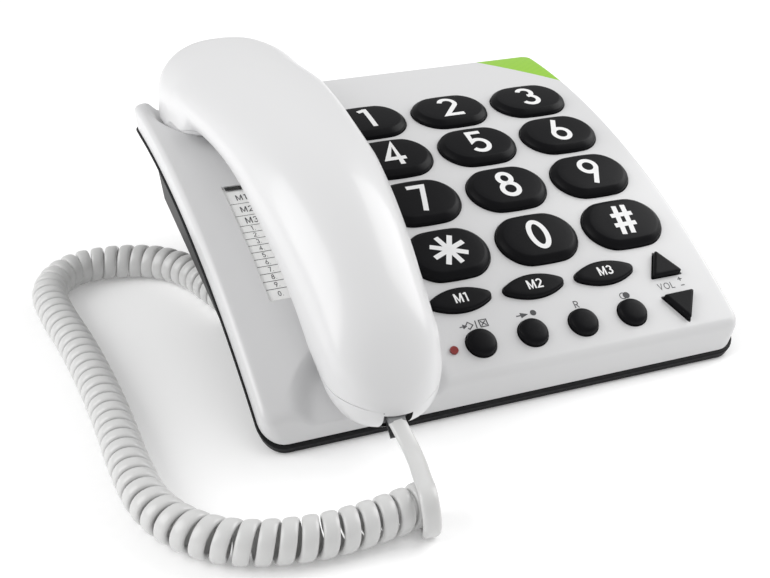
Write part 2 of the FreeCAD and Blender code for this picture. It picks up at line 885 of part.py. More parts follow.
# Standoffs rise square to the board from the tub's floor.
standoffs = []
for number, (x, along) in enumerate(((-12, -40), (78, -40), (-12, 60), (78, 60)), 1):
    peg = doc.addObject("Part::Box", f"standoff_{number}")
    bind(peg, Length="post_side", Width="post_side", Height="40")
    edge = size("post_side / 2")
    peg.Placement = board_place(x - edge, along - edge, -size("board_thickness") - 40)
    standoffs.append(common(f"standoff_cut_{number}", peg, tub_outer))

foot_zone = crown_slab(
    "foot_zone", f"{plate_top} + 0.5", "30", "-base_depth / 2 - 5", "0", "base_width + 10"
)
foot_pegs = [
    prism(f"foot_peg_{name}", 16, "foot_radius + 1", "20", f"{sign}front_foot_x", "front_foot_y", "foot_height")
    for name, sign in (("left", "-"), ("right", ""))
]
foot_bosses = [common(f"foot_boss_{n}", peg, foot_zone) for n, peg in enumerate(foot_pegs, 1)]

# Cable wells in the underside, each with a socket block at its front end. The line's well
# is the handset cord's, moved back along the tub's slope.
well_walls = []
well_ways = []
for name, x, width, shift in (
    ("handset_cord", "-socket_x", "plug_width", "0"),
    ("line", "socket_x", "line_plug_width", "line_shift"),
):
    mouth = f"(socket_y + {shift})"
    lift = f"({shift}) * tan(tub_slope)"
    front = f"({mouth} + seat_gap)"
    back = f"(well_back + {shift})"
    ceiling = f"(well_ceiling + {lift})"
    middle = f"(socket_z + {lift})"
    wall = block(
        f"{name}_well_wall", "2 * (well_half_width + well_wall)", f"{back} + well_wall - {front}",
        f"{ceiling} + well_wall - 10", x, front, "10",
    )
    well_walls.append(common(f"{name}_well_trim", wall, tub_outer))
    well = block(
        f"{name}_well", "2 * well_half_width", f"{back} - {front} - well_wall", f"{ceiling} - 5",
        x, f"{front} + well_wall", "5",
    )
    high = "(plug_height + 2 * plug_gap)"
    wide = f"({width} + 2 * plug_gap)"
    door = block(f"{name}_door", wide, "20", high, x, f"{mouth} - 10", f"{middle} - {high} / 2")
    case_high = f"({high} + 2 * socket_wall)"
    case_wide = f"({wide} + 2 * socket_wall)"
    case_back = f"{mouth} - socket_depth - socket_wall"
    case = block(
        f"{name}_case", case_wide, "socket_depth + socket_wall", case_high, x, case_back,
        f"{middle} - {case_high} / 2",
    )
    hollow = block(
        f"{name}_hollow", wide, "socket_depth + 1", high, x, f"{mouth} - socket_depth", f"{middle} - {high} / 2"
    )
    case_way = block(
        f"{name}_case_way", f"{case_wide} + 2 * seat_gap", "socket_depth + socket_wall + seat_gap",
        f"{middle} - 5", x, f"{case_back} - seat_gap", "5",
    )
    well_ways += [well, door, case_way]
    piece(f"{name}_jack", cut(f"{name}_jack_whole", common(f"{name}_case_trim", case, tub_outer), [hollow]))

# Slider in the left wall of the tub.
slider_turn = math.degrees(math.asin((crown_y - size("slider_y")) / crown_radius))
slider_depth = size("skirt_depth + band_depth + slider_drop")
slider_z = crown_height(size("slider_y"), slider_depth)
wall_x = -size("base_width / 2 - tub_inset")


def slider_block(name, left, thickness, length, height):
    """A box lying along the slope of the wall, about the slider's place."""
    result = doc.addObject("Part::Box", name)
    bind(result, Length=thickness, Width=length, Height=height)
    turn = Rotation(Vector(1, 0, 0), slider_turn)
    corner = turn.multVec(Vector(0, -size(length) / 2, -size(height) / 2))
    result.Placement = Placement(Vector(left, size("slider_y"), slider_z) + corner, turn)
    return result


slider_slot = slider_block("slider_slot", wall_x - 1, "tub_wall + 2", "slider_slot_length", "slider_slot_height")
slider_knob = slider_block(
    "slider_knob", wall_x - 0.6, "tub_wall + 1.2", "slider_knob_length", "slider_slot_height - 4 * seat_gap"
)
slider_plate = slider_block(
    "slider_plate", wall_x + size("tub_wall + seat_gap"), "1.2", "slider_slot_length + 6", "slider_slot_height + 1.2"
)
piece("ringer_switch", join("slider_whole", [slider_knob, slider_plate]))

# Speaker on the tub's floor, with holes below it.
floor_turn = Rotation(Vector(1, 0, 0), tub_angle)
floor_spot = Placement(
    Vector(size("speaker_x"), size("speaker_y"), tub_floor_height(size("speaker_y"))), floor_turn
)


def floor_form(name, kind, x, y, rise, **sizes):
    """A form square to the tub's floor, placed about the speaker's middle."""
    result = doc.addObject(kind, name)
    bind(result, **sizes)
    result.Placement = floor_spot.multiply(Placement(Vector(x, y, rise), Rotation()))
    return result


speaker_rise = size("tub_wall")
speaker_frame = floor_form(
    "speaker_frame", "Part::Prism", 0, 0, speaker_rise, Circumradius="speaker_radius", Height="speaker_depth / 2"
)
speaker_frame.Polygon = 24
speaker_magnet = floor_form(
    "speaker_magnet", "Part::Prism", 0, 0, speaker_rise + size("speaker_depth") / 2 - 0.1,
    Circumradius="speaker_radius / 2", Height="speaker_depth / 2 + 0.1",
)
speaker_magnet.Polygon = 16
piece("ringer_speaker", join("speaker_whole", [speaker_frame, speaker_magnet]))
sound_slots = []
for number, (x, length) in enumerate(((-12, 14), (-6, 24), (0, 28), (6, 24), (12, 14)), 1):
    sound_slots.append(
        floor_form(
            f"sound_slot_{number}", "Part::Box", x - 1, -length / 2, -1,
            Length="sound_hole * 2 / 3", Width=f"{length}", Height="tub_wall + 2",
        )
    )

# Stand: an open-topped tray below the tub, held by four clips.
def stand_profile(name, inset, bottom, top_gap, width):
    """The stand's side view, drawn in by an inset and drawn out to a width."""
    body = new_body(name)
    sketch = new_sketch(body, "YZ_Plane", f"{name}_profile")
    front = f"(stand_front + ({inset}))"
    back = f"(stand_back - ({inset}))"
    top = "tub_front_height + ({0} - tub_front) * tan(tub_slope) - ({1})"
    outline(
        sketch,
        [(front, bottom), (back, bottom), (back, top.format(back, top_gap)), (front, top.format(front, top_gap))],
    )
    pad(body, sketch, f"{name}_pad", width, symmetric=True)
    return body


stand_outer = stand_profile("stand_outer", "0", "foot_height", "0", "stand_width")
stand_inner = stand_profile(
    "stand_inner", "stand_wall", "foot_height + stand_wall", "-3", "stand_width - 2 * stand_wall"
)
keyholes = []
for name, sign in (("left", "-"), ("right", "")):
    x = f"{sign}keyhole_spacing / 2"
    keyholes.append(rod(f"keyhole_head_{name}", "keyhole_head / 2", "10", x, "keyhole_y - keyhole_slot_length", "0"))
    keyholes.append(rod(f"keyhole_end_{name}", "keyhole_slot_width / 2", "10", x, "keyhole_y", "0"))
    keyholes.append(
        block(
            f"keyhole_slot_{name}", "keyhole_slot_width", "keyhole_slot_length", "10", x,
            "keyhole_y - keyhole_slot_length", "0",
        )
    )
clips = []
clip_ways = []
for number, (x_sign, y) in enumerate((("-", 0), ("", 0), ("-", 36), ("", 36)), 1):
    x = f"{x_sign}(stand_width / 2 - stand_wall / 2)"
    top = tub_floor_height(y)
    clips.append(
        block(f"clip_{number}", "clip_thickness", "clip_width", "clip_reach + 6", x, f"{y} - clip_width / 2", f"{top - 5}")
    )
    clip_ways.append(
        block(
            f"clip_way_{number}", "clip_thickness + 4 * seat_gap", "clip_width + 4 * seat_gap", "16", x,
            f"{y} - clip_width / 2 - 2 * seat_gap", f"{top - 5}",
        )
    )
stand_shell = cut("stand_shell", stand_outer, [stand_inner] + keyholes)
piece("desk_stand", join("stand_whole", [stand_shell] + clips))

feet = []
for name, x, y in (
    ("front_left", "-front_foot_x", "front_foot_y"),
    ("front_right", "front_foot_x", "front_foot_y"),
    ("rear_left", "-rear_foot_x", "rear_foot_y"),
    ("rear_right", "rear_foot_x", "rear_foot_y"),
):
    feet.append(prism(f"foot_{name}", 16, "foot_radius", "foot_height", x, y, "0"))
piece("rubber_feet", join("foot_set", feet))

lower_solid = join("lower_solid", [tub_outer, plates])
lower_hollow = cut("lower_hollow", lower_solid, [tub_inner])
lower_filled = join("lower_filled", [lower_hollow] + bosses + standoffs + foot_bosses + well_walls)
lower = cut(
    "lower_whole", lower_filled, well_ways + sound_slots + clip_ways + [slider_slot]
)
piece("lower_housing", lower)

# Circuit board and mat.


def board_sheet(name, margin, low, high):
    """A flat sheet in the board's frame."""
    result = doc.addObject("Part::Box", name)
    bind(
        result,
        Length=f"board_right - board_left - 2 * ({margin})",
        Width=f"board_back - board_front - 2 * ({margin})",
        Height=f"({high}) - ({low})",
    )
    inset = size(margin)
    result.Placement = board_place(size("board_left") + inset, size("board_front") + inset, size(low))
    return result


def board_peg(name, side, low, high, x, along):
    """A square column on the board's frame."""
    result = doc.addObject("Part::Box", name)
    bind(result, Length=side, Width=side, Height=f"({high}) - ({low})")
    edge = size(side) / 2
    result.Placement = board_place(x - edge, along - edge, size(low))
    return result


piece("circuit_board", board_sheet("board", "0", "-board_thickness", "0"))
mat = board_sheet("mat_sheet", "mat_margin", "0", "mat_thickness")
pads = [
    board_peg(f"pad_{n}", "pad_side", "mat_thickness / 2", "mat_thickness + pad_height", x, along)
    for n, (x, along) in enumerate(stem_spots, 1)
]
piece("keypad_mat", join("mat_whole", [mat] + pads))


# Handset. Its form is a loft through closed sections, one for each place along it.

def handset_half_width(y):
    """Half the handset's width: widest at the ear, narrowest at the mouth."""
    places = [size("mouth_y"), size("grip_y"), size("ear_y")]
    halves = [size("mouth_half_width"), size("grip_half_width"), size("ear_half_width")]
    if y <= places[0]:
        return halves[0]
    if y >= places[2]:
        return halves[2]
    number = 0 if y < places[1] else 1
    share = (y - places[number]) / (places[number + 1] - places[number])
    smooth = (3 - 2 * share) * share**2 if number else share
    return halves[number] + (halves[number + 1] - halves[number]) * smooth


def rounding(distance, radius):
    """How far a quarter circle has opened at a distance from its start, from 0 to 1."""
    return math.sqrt(1 - max(1 - distance / radius, 0) ** 2)


def handset_section(y, inset, sides):
    """A closed section of the handset in an upright plane, drawn in by an inset."""
    distance = min(y - front_end, back_end - y) - inset
    wide = (handset_half_width(y) - inset) * rounding(distance, size("handset_end_round") - inset)
    top, bottom = handset_top(y) - inset, handset_bottom(y) + inset
    middle = bottom + 0.4 * (top - bottom)
    tall = rounding(distance, size("handset_end_drop") - inset)
    spots = []
    for step in range(sides):
        turn = 2 * math.pi * (step + 0.5) / sides
        across, up = math.cos(turn), math.sin(turn)
        bulge = 2.3 if up > 0 else 3.4
        x = wide * math.copysign(abs(across) ** (2 / bulge), across)
        reach = (top if up > 0 else bottom) - middle
        spots.append(Vector(x, y, middle + reach * tall * abs(up) ** (2 / bulge)))
    return Part.makePolygon(spots + spots[:1])


def handset_places(inset):
    """Where along the handset its sections stand, closest together at its round ends."""
    steps = (0.3, 2.0, 6.0, 13.0, 24.0)
    places = [front_end + inset + step for step in steps]
    places += [mouth_back - 6, mouth_back, mouth_back + 4, mouth_back + 12, mouth_back + 26]
    places += [-34, -14, 8, ear_front - 32, ear_front - 16, ear_front - 6, ear_front - 1.5, ear_front + 6]
    return places + [back_end - inset - step for step in reversed(steps)]


def handset_form(name, inset, sides):
    """The handset's outer or inner body as a loft."""
    sections = [handset_section(y, inset, sides) for y in handset_places(inset)]
    loft = Part.makeLoft(sections, True, True)
    result = solid(name, loft)
    result.Placement.Base.x = size("handset_x")
    return result


def seam_form(name, rise, width):
    """Everything below a sheet that follows the underside at a given rise."""
    places = handset_places(0)
    line = [Vector(0, y, handset_bottom(y) + rise) for y in places]
    line.insert(0, line[0] + Vector(0, -5, 0))
    line.append(line[-1] + Vector(0, 5, 0))
    line += [Vector(0, back_end + 5, -20), Vector(0, front_end - 5, -20)]
    face = Part.Face(Part.makePolygon(line + line[:1]))
    result = solid(name, face.extrude(Vector(width, 0, 0)))
    result.Placement.Base.x = size("handset_x") - width / 2
    return result


handset_outer = handset_form("handset_outer", 0.0, 20)
handset_inner = handset_form("handset_inner", size("handset_wall"), 12)
below_seam = seam_form("below_seam", size("handset_seam"), 90)
handset_hollow = cut("handset_hollow", handset_outer, [handset_inner])

# The plugs share one form: an own frame with +Y going into the socket.
cord_exit = Placement(
    Vector(size("handset_x"), size("cord_exit_y"), size("cord_exit_z")),
    Rotation(Vector(1, 0, 0), size("cord_exit_tilt")),
)
base_exit = Placement(
    Vector(-size("socket_x"), size("socket_y + plug_length - 9.2"), size("socket_z")),
    Rotation(Vector(0, 0, 1), 180),
)


def framed_block(name, frame, length, width, height, start, lift="0"):
    """A box centred across a frame's X, from a start along its Y."""
    result = doc.addObject("Part::Box", name)
    bind(result, Length=length, Width=width, Height=height)
    corner = Vector(-size(length) / 2, size(start), size(lift) - size(height) / 2)
    result.Placement = frame.multiply(Placement(corner, Rotation()))
    return result


def make_plug(label, frame, hinge_start):
    """A modular plug with its latch, which is hinged a little way from the plug's back."""
    barrel = framed_block(f"{label}_barrel", frame, "plug_width", "plug_length", "plug_height", "0")
    latch = doc.addObject("Part::Box", f"{label}_latch")
    bind(latch, Length="latch_width", Width="latch_length", Height="1")
    hinge = Placement(
        Vector(-size("latch_width / 2"), size(hinge_start), -size("plug_height / 2") + 0.2), Rotation(Vector(1, 0, 0), 180 + 24)
    )
    latch.Placement = frame.multiply(hinge)
    piece(label, join(f"{label}_whole", [barrel, latch]))


make_plug("handset_plug", cord_exit, "jack_inset - 0.4")
make_plug("base_plug", base_exit, "jack_inset / 4")
jack_wide = "plug_width + 2 * (plug_gap + socket_wall)"
jack_high = "plug_height + 2 * (plug_gap + socket_wall)"
jack_case = framed_block(
    "handset_jack_case", cord_exit, jack_wide, "plug_length + plug_gap + socket_wall - jack_inset", jack_high,
    "jack_inset",
)
jack_hollow = framed_block(
    "handset_jack_hollow", cord_exit, "plug_width + 2 * plug_gap", "plug_length + plug_gap - jack_inset + 1",
    "plug_height + 2 * plug_gap", "jack_inset - 1",
)
piece("handset_jack", cut("handset_jack_whole", jack_case, [jack_hollow]))
notch = framed_block(
    "handset_notch", cord_exit, "plug_width + 1", "20", "plug_height + 1.2", "jack_inset - 20 - seat_gap"
)
latch_way = framed_block(
    "latch_way", cord_exit, "latch_width + 0.8", "16", "6", "-12", "-plug_height / 2 - 1.6"
)
jack_room = framed_block(
    "handset_jack_room", cord_exit, f"{jack_wide} + 2 * seat_gap", "plug_length + 2 - jack_inset",
    f"{jack_high} + 2 * seat_gap", "jack_inset - seat_gap",
)

# Inside the handset: receiver, microphone and weight, each on a seat of the cover.
receiver_y = size("ear_y")
receiver_floor = handset_bottom(receiver_y) + size("handset_wall")
receiver_low = receiver_floor + 2.5
receiver = prism(
    "receiver_can", 24, "capsule_radius", "capsule_depth", "handset_x", "ear_y", f"{receiver_low}"
)
piece("receiver_capsule", receiver)
receiver_seat = prism("receiver_seat", 24, "capsule_radius + 1", "6", "handset_x", "ear_y", f"{receiver_low - 6}")
receiver_bore = prism("receiver_bore", 24, "capsule_radius - 2", "20", "handset_x", "ear_y", f"{receiver_low - 10}")
microphone_y = size("mouth_y") + 4
microphone_low = handset_bottom(microphone_y + size("microphone_radius")) + size("handset_wall") + 0.5
microphone = prism(
    "microphone_can", 16, "microphone_radius", "microphone_depth", "handset_x", f"{microphone_y}", f"{microphone_low}"
)
piece("microphone_capsule", microphone)
microphone_seat = prism(
    "microphone_seat", 16, "microphone_radius + 1", "7", "handset_x", f"{microphone_y}", f"{microphone_low - 7}"
)
microphone_bore = prism(
    "microphone_bore", 16, "microphone_radius - 1.5", "9", "handset_x", f"{microphone_y}", f"{microphone_low - 8}"
)
weight_y = -8.0
reach = size("weight_length / 2")
weight_lean = math.degrees(
    math.atan2(handset_bottom(weight_y + reach) - handset_bottom(weight_y - reach), 2 * reach)
)
weight_rise = size("handset_wall + weight_thickness / 2") + 1.6
weight_frame = Placement(
    Vector(size("handset_x"), weight_y, handset_bottom(weight_y) + weight_rise),
    Rotation(Vector(1, 0, 0), weight_lean),
)
piece(
    "handset_weight",
    framed_block(
        "weight_bar", weight_frame, "weight_width", "weight_length", "weight_thickness", "-weight_length / 2"
    ),
)
ribs = [
    framed_block(
        f"weight_rib_{n}", weight_frame, "weight_width", "2", "12", start, "-weight_thickness / 2 - 6"
    )
    for n, start in enumerate(("-weight_length / 2 + 4", "weight_length / 2 - 6"), 1)
]
seats = cut("seats_bored", join("seats_solid", [receiver_seat, microphone_seat]), [receiver_bore, microphone_bore])
supports = common("handset_supports", join("support_set", [seats] + ribs), handset_outer)
ear_holes = [
    prism(
        f"ear_hole_{n}", 8, "sound_hole / 2", "12", f"handset_x + {6 * math.cos(n * math.pi / 3) * (n < 6)}",
        f"ear_y + {6 * math.sin(n * math.pi / 3) * (n < 6)}", f"{receiver_floor - 6}",
    )
    for n in range(7)
]
mouth_holes = [
    block(f"mouth_hole_{n}", "1.2", "5", "9", f"handset_x + {2.4 * n}", f"{microphone_y - 2.5}", "5")
    for n in (-1, 0, 1)
]
handset_shell = cut("handset_shell_whole", handset_hollow, [below_seam, notch, jack_room, latch_way])
cover_skin = common("cover_skin", handset_hollow, below_seam)
handset_cover = cut(
    "handset_cover_whole", join("cover_solid", [cover_skin, supports]), [notch, jack_room, latch_way] + ear_holes + mouth_holes
)
piece("handset_shell", handset_shell)
piece("handset_cover", handset_cover)

# Handset cord: a lead from each plug, and the curls between them. The curls lie on the desk
# round the front left of the base and come in below its left edge. Their route is a list of
# chosen points in plan, joined by a smooth quadratic curve.
CURL_ROUTE = (
    (-60, -144.5),
    (-80, -149),
    (-104, -149),
    (-128, -140),
    (-142, -118),
    (-143.5, -90),
    (-142.5, -60),
    (-143, -30),
    (-144.5, 0),
    (-147.5, 28),
    (-148, 52),
    (-136, 69),
    (-116, 70.5),
    (-97, 63),
    (-86, 46),
    (-82, 27),
    (-78, 12),
)
wire_radius = size("wire_radius")
curl_radius = size("curl_radius")
curl_height = wire_radius + size("wire_floor_gap") + curl_radius
straight_end = 2 * wire_radius

route = Part.BSplineCurve()
poles = [Vector(x, y, curl_height) for x, y in CURL_ROUTE]
spans = len(poles) - 2
route.buildFromPolesMultsKnots(
    poles, [3] + [1] * (spans - 1) + [3], [float(k) for k in range(spans + 1)], False, 2
)
route_length = route.length()
curl_count = size("curl_turns") + 0.5


def curl_point(turns):
    """A point of the wound wire and its direction, after a number of turns."""
    share = turns / curl_count
    parameter = route.parameterAtDistance(share * route_length) if 0 < share < 1 else share * spans
    along = route.tangent(parameter)[0]
    across = Vector(-along.y, along.x, 0)
    turn = 2 * math.pi * turns
    out = across * -math.sin(turn) - Vector(0, 0, 1) * math.cos(turn)
    round_way = across * -math.cos(turn) + Vector(0, 0, 1) * math.sin(turn)
    way = round_way * (2 * math.pi * curl_radius) + along * (route_length / curl_count)
    return route.value(parameter) + out * curl_radius, way.normalize()


def biarc(start, way, end, end_way):
    """Two arcs that join two points and keep both directions."""
    gap = end - start
    both = gap.dot(way + end_way)
    spread = 2 * (1 - way.dot(end_way))
    if spread < 1e-9:
        reach = gap.dot(gap) / (2 * both)
    else:
        reach = (-both + math.sqrt(both**2 + spread * gap.dot(gap))) / spread
    corners = (start + way * reach, end - end_way * reach)
    joint = (corners[0] + corners[1]) * 0.5
    edges = []
    for first, corner, last in ((start, corners[0], joint), (joint, corners[1], end)):
        weight = (last - first).Length / (2 * reach)
        middle = (first + corner * (2 * weight) + last) * (1 / (2 + 2 * weight))
        if (middle - (first + last) * 0.5).Length < 1e-6:
            edges.append(Part.makeLine(first, last))
        else:
            edges.append(Part.Arc(first, middle, last).toShape())
    return edges


def pipe(name, edges):
    """A square wire swept along a line of edges."""
    start = edges[0].valueAt(edges[0].FirstParameter)
    way = edges[0].tangentAt(edges[0].FirstParameter)
    side = way.cross(Vector(0.3, 0.2, 1)).normalize()
    up = way.cross(side)
    corners = [start + (side * a + up * b) * wire_radius for a, b in ((1, 0), (0, 1), (-1, 0), (0, -1))]
    section = Part.makePolygon(corners + corners[:1])
    return solid(name, Part.Wire(edges).makePipeShell([section], True, False))


def lead(name, points):
    """A wire of straight runs joined by arcs that touch them."""
    spots = [Vector(*point) for point in points]
    edges = []
    start = spots[0]
    for before, corner, after in zip(spots, spots[1:], spots[2:]):
        come, go = (before - corner).normalize(), (after - corner).normalize()
        half_turn = (math.pi - come.getAngle(go)) / 2
        reach = 0.45 * min((before - corner).Length, (after - corner).Length)
        radius = reach / math.tan(half_turn)
        print(f"{name}: bend radius {radius:.1f} mm")
        first, last = corner + come * reach, corner + go * reach
        middle = corner + (come + go).normalize() * (radius / math.cos(half_turn) - radius)
        edges += [Part.makeLine(start, first), Part.Arc(first, middle, last).toShape()]
        start = last
    edges.append(Part.makeLine(start, spots[-1]))
    return pipe(name, edges)


# The first and last curls start from a straight end of one wire's width.
first_spot, first_way = curl_point(0)
first_flat = Vector(0, 1, 0)
last_spot, last_way = curl_point(curl_count)
last_flat = Vector(last_way.x, last_way.y, 0).normalize()
curl_edges = [Part.makeLine(first_spot - first_flat * straight_end, first_spot)]
here, way = first_spot, first_flat
quarters = round(curl_count * 4)
for quarter in range(1, quarters + 1):
    there, there_way = curl_point(quarter / 4)
    if quarter == quarters:
        there_way = last_flat
    curl_edges += biarc(here, way, there, there_way)
    here, way = there, there_way
curl_edges.append(Part.makeLine(here, here + last_flat * straight_end))
piece("cord_coil", pipe("coil", curl_edges))

samples = [curl_point(step / 24)[0] for step in range(int(curl_count * 24))]
least = min(
    (samples[first] - samples[second]).Length
    for first in range(len(samples))
    for second in range(first + 14, min(first + 36, len(samples)))
)
print(f"curls: least gap {least - 2 * wire_radius:.2f} mm, pitch {route_length / curl_count:.2f} mm")

exit_way = cord_exit.Rotation.multVec(Vector(0, -1, 0))
exit_spot = cord_exit.Base
coil_start = first_spot - first_flat * straight_end
coil_end = here + last_flat * straight_end
plug_back = base_exit.Base
LEAD_BENDS = {
    "handset": ((-57.6, -131, 7.6), (-58.9, -143, 8.2), (-59.2, -154.2, 9), (-59.8, -154.6, coil_start.z)),
    "base": ((-64.6, 4, 20), (-65, -8, plug_back.z)),
}
handset_points = [exit_spot, exit_spot + exit_way * 8.5, *LEAD_BENDS["handset"], coil_start]
base_points = [coil_end, coil_end + last_flat * 10, *LEAD_BENDS["base"], plug_back]
piece("cord_lead_handset", lead("lead_handset", handset_points))
piece("cord_lead_base", lead("lead_base", base_points))

# Every piece is checked, moved to the shared origin and written out.
doc.recompute()
for thing in doc.Objects:
    if "Invalid" in thing.State or "Error" in thing.State:
        raise ValueError(f"{thing.Name} did not build")

shift = Placement(Vector(0, -size("(handset_front + handset_back) / 2"), 0), Rotation())
for label, thing in PIECES.items():
    shape = thing.Shape
    if shape.isNull() or not shape.isValid() or not shape.Solids:
        raise ValueError(f"{label} has no good solid")
    thing.Placement = shift.multiply(thing.Placement)
    thing.Shape.exportStep(f"parts/{label}.step")
print(f"{len(PIECES)} pieces")
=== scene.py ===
# %% [markdown]
# # A corded telephone with large keys
#
# This lesson dresses the solids of a desk telephone. They come in a fixed frame, one object for
# each node. Every cell adds one piece of the looks: the materials, the curled cord, the curved
# top, the keys and their signs, the name list, the handset, and at last the studio.
#
# Shapes are worked out with numpy as grids of points and then put into a mesh. A formula can be
# read, changed and run again, and nothing depends on where a mouse was clicked.

# %% Load the solids
import math

import bmesh
import bpy
import numpy as np
from mathutils import Matrix, Vector


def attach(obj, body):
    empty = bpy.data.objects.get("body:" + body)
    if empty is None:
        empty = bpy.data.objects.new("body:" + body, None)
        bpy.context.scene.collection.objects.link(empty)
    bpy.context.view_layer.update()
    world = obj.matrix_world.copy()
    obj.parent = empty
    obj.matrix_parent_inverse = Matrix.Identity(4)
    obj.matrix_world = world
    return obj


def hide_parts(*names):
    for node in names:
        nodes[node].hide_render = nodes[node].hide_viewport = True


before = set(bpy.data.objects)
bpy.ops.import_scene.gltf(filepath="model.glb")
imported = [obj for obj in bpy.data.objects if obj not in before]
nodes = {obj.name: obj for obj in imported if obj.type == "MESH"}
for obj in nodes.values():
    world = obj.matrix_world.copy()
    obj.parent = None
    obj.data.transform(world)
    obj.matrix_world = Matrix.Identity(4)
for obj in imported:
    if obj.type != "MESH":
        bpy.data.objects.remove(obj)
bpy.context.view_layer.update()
print(f"solids: {len(nodes)} nodes")

# %% [markdown]
# Lengths are in millimetres, since a small object is easier to picture that way. They are
# measured in the base's own frame: X to the right, Y to the back, Z up, with the origin on the
# desk below the middle of the base. Blender counts in metres and the solids lie a little further
# back, so one function turns all points over.

# %% Units
MM = 0.001
SHIFT_Y = 6.75
HALF_WIDTH, HALF_DEPTH = 95.0, 89.5
HANDSET_X = -57.0


def spot(points):
    """Millimetres in the base's frame to metres in the solids' frame: shifted, then scaled."""
    return (np.asarray(points, float) + np.array([0.0, SHIFT_Y, 0.0])) * MM


print(f"base: {2 * HALF_WIDTH:g} by {2 * HALF_DEPTH:g} mm")

# %% [markdown]
# The top of the base is not flat. It bends down to the front like a strip of a large drum that
# lies along X. A flat plate could be bent by a modifier, but every hole and sign would have to be
# bent with it. Here the drum is a formula, and each piece asks it where the surface is.

# %% The drum under the top
CROWN_Y, CROWN_Z, CROWN_RADIUS = 100.5, -284.1, 355.3
FIRST_ROW_SLOPE = math.radians(9.75)


def crown_height(y, depth=0.0):
    """The height of the top: the drum's centre plus the root of its radius squared less the
    distance from its crest squared. A depth makes the radius shorter."""
    return CROWN_Z + np.sqrt((CROWN_RADIUS - depth) ** 2 - (np.asarray(y, float) - CROWN_Y) ** 2)


def crown_angle(place):
    """Slope in radians at a distance along the top, forward from the first row of keys: that
    row's slope plus the distance over the radius."""
    return FIRST_ROW_SLOPE + place / CROWN_RADIUS


def on_crown(x, angle, u, v, h):
    """A point h above the drum, u across and v up the slope from the place (x, angle)."""
    turn = angle - np.asarray(v, float) / CROWN_RADIUS
    reach = CROWN_RADIUS + np.asarray(h, float)
    across = x + np.asarray(u, float) + 0 * turn
    return np.stack(
        [across, CROWN_Y - reach * np.sin(turn), CROWN_Z + reach * np.cos(turn)], axis=-1
    )


def on_plane(x, angle, u, v, h):
    """The same for a flat plane that touches the drum at the place: that place plus u to the
    right, v up the slope and h along the plane's normal."""
    low, high = math.sin(angle), math.cos(angle)
    base = np.array([x, CROWN_Y - CROWN_RADIUS * low, CROWN_Z + CROWN_RADIUS * high])
    u, v, h = (np.asarray(value, float)[..., None] for value in (u, v, h))
    right, back, up = np.array([(1.0, 0, 0), (0, high, low), (0, -low, high)])
    return base + u * right + v * back + h * up


print(f"top: {float(crown_height(-80)):.1f} mm high in front, {float(crown_height(80)):.1f} behind")

# %% [markdown]
# Most pieces are a stack of rings: a profile that is carried along a path and changes on its way.
# Neighbouring rings are joined by quads, and each end is closed by a fan of triangles. A few
# helpers do this for all pieces, so that each piece below only has to say where its rings are.

# %% Rings to mesh


def grid_faces(rows, columns):
    """Quads between neighbouring rings. A corner's number is its row times the columns plus its
    column, and the last column joins the first."""
    row = np.arange(rows - 1)[:, None] * columns
    column = np.arange(columns)[None]
    after = (column + 1) % columns
    quads = [row + column, row + after, row + columns + after, row + columns + column]
    return np.stack(quads, axis=-1).reshape(-1, 4)


def closed_tube(rings):
    """Points and faces of a stack of rings, with a fan round the middle of the first ring and
    one round the middle of the last."""
    rings = np.asarray(rings, float)
    count, columns = rings.shape[:2]
    middles = [rings[0].mean(0)[None], rings[-1].mean(0)[None]]
    points = np.concatenate([rings.reshape(-1, 3), *middles])
    column = np.arange(columns)
    after = (column + 1) % columns
    first, last, top = count * columns, count * columns + 1, (count - 1) * columns
    near = np.column_stack([np.full(columns, first), after, column])
    far = np.column_stack([np.full(columns, last), top + column, top + after])
    fans = np.stack([near, far], axis=1).reshape(-1, 3)
    return points, grid_faces(count, columns).tolist() + fans.tolist()


def joined(parts):
    """Several pairs of points and faces as one. A part's corner numbers are raised by the count
    of the points before it."""
    points, faces = [], []
    for more_points, more_faces in parts:
        start = sum(len(done) for done in points)
        points.append(more_points)
        faces += [[start + corner for corner in face] for face in more_faces]
    return np.concatenate(points), faces


print("a box of two rings has", len(closed_tube(np.zeros((2, 4, 3)))[1]), "faces")

# %% [markdown]
# A mesh becomes part of the telephone when it has an object, a material and a body to ride with.
# Soft shading hides the small faces, and edges past a chosen angle stay crisp. Faces have to
# point outwards, or a renderer takes the inside for the outside.

# %% Mesh to object


def new_object(name, points, faces, look, body, smooth=True, sharp=30.0):
    """An object from points in millimetres and faces as lists of corner numbers."""
    mesh = bpy.data.meshes.new(name)
    mesh.from_pydata(spot(points).tolist(), [], faces)
    mesh.validate()
    mesh.materials.append(look)
    mesh.polygons.foreach_set("use_smooth", [smooth] * len(mesh.polygons))
    if smooth:
        mesh.set_sharp_from_angle(angle=math.radians(sharp))
    thing = bpy.data.objects.new(name, mesh)
    bpy.context.scene.collection.objects.link(thing)
    if body:
        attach(thing, body)
    return thing


def outward(thing):
    """Turn all faces of a mesh outwards."""
    kit = bmesh.new()
    kit.from_mesh(thing.data)
    bmesh.ops.recalc_face_normals(kit, faces=kit.faces)
    kit.to_mesh(thing.data)
    kit.free()


# %% [markdown]
# The telephone is almost all moulded plastic: a smooth white for the handset, a slightly grained
# white for the base, and a dull black for the keys. A picture of plastic could be wrapped round
# it, but one shader with a fine bump is enough and holds from any side. The grain reads Object
# coordinates, which stay with the piece when it moves.

# %% One shader for plastic, metal and rubber
COAT_ROUGHNESS = 0.08
GRAIN_HEIGHT = 0.0002


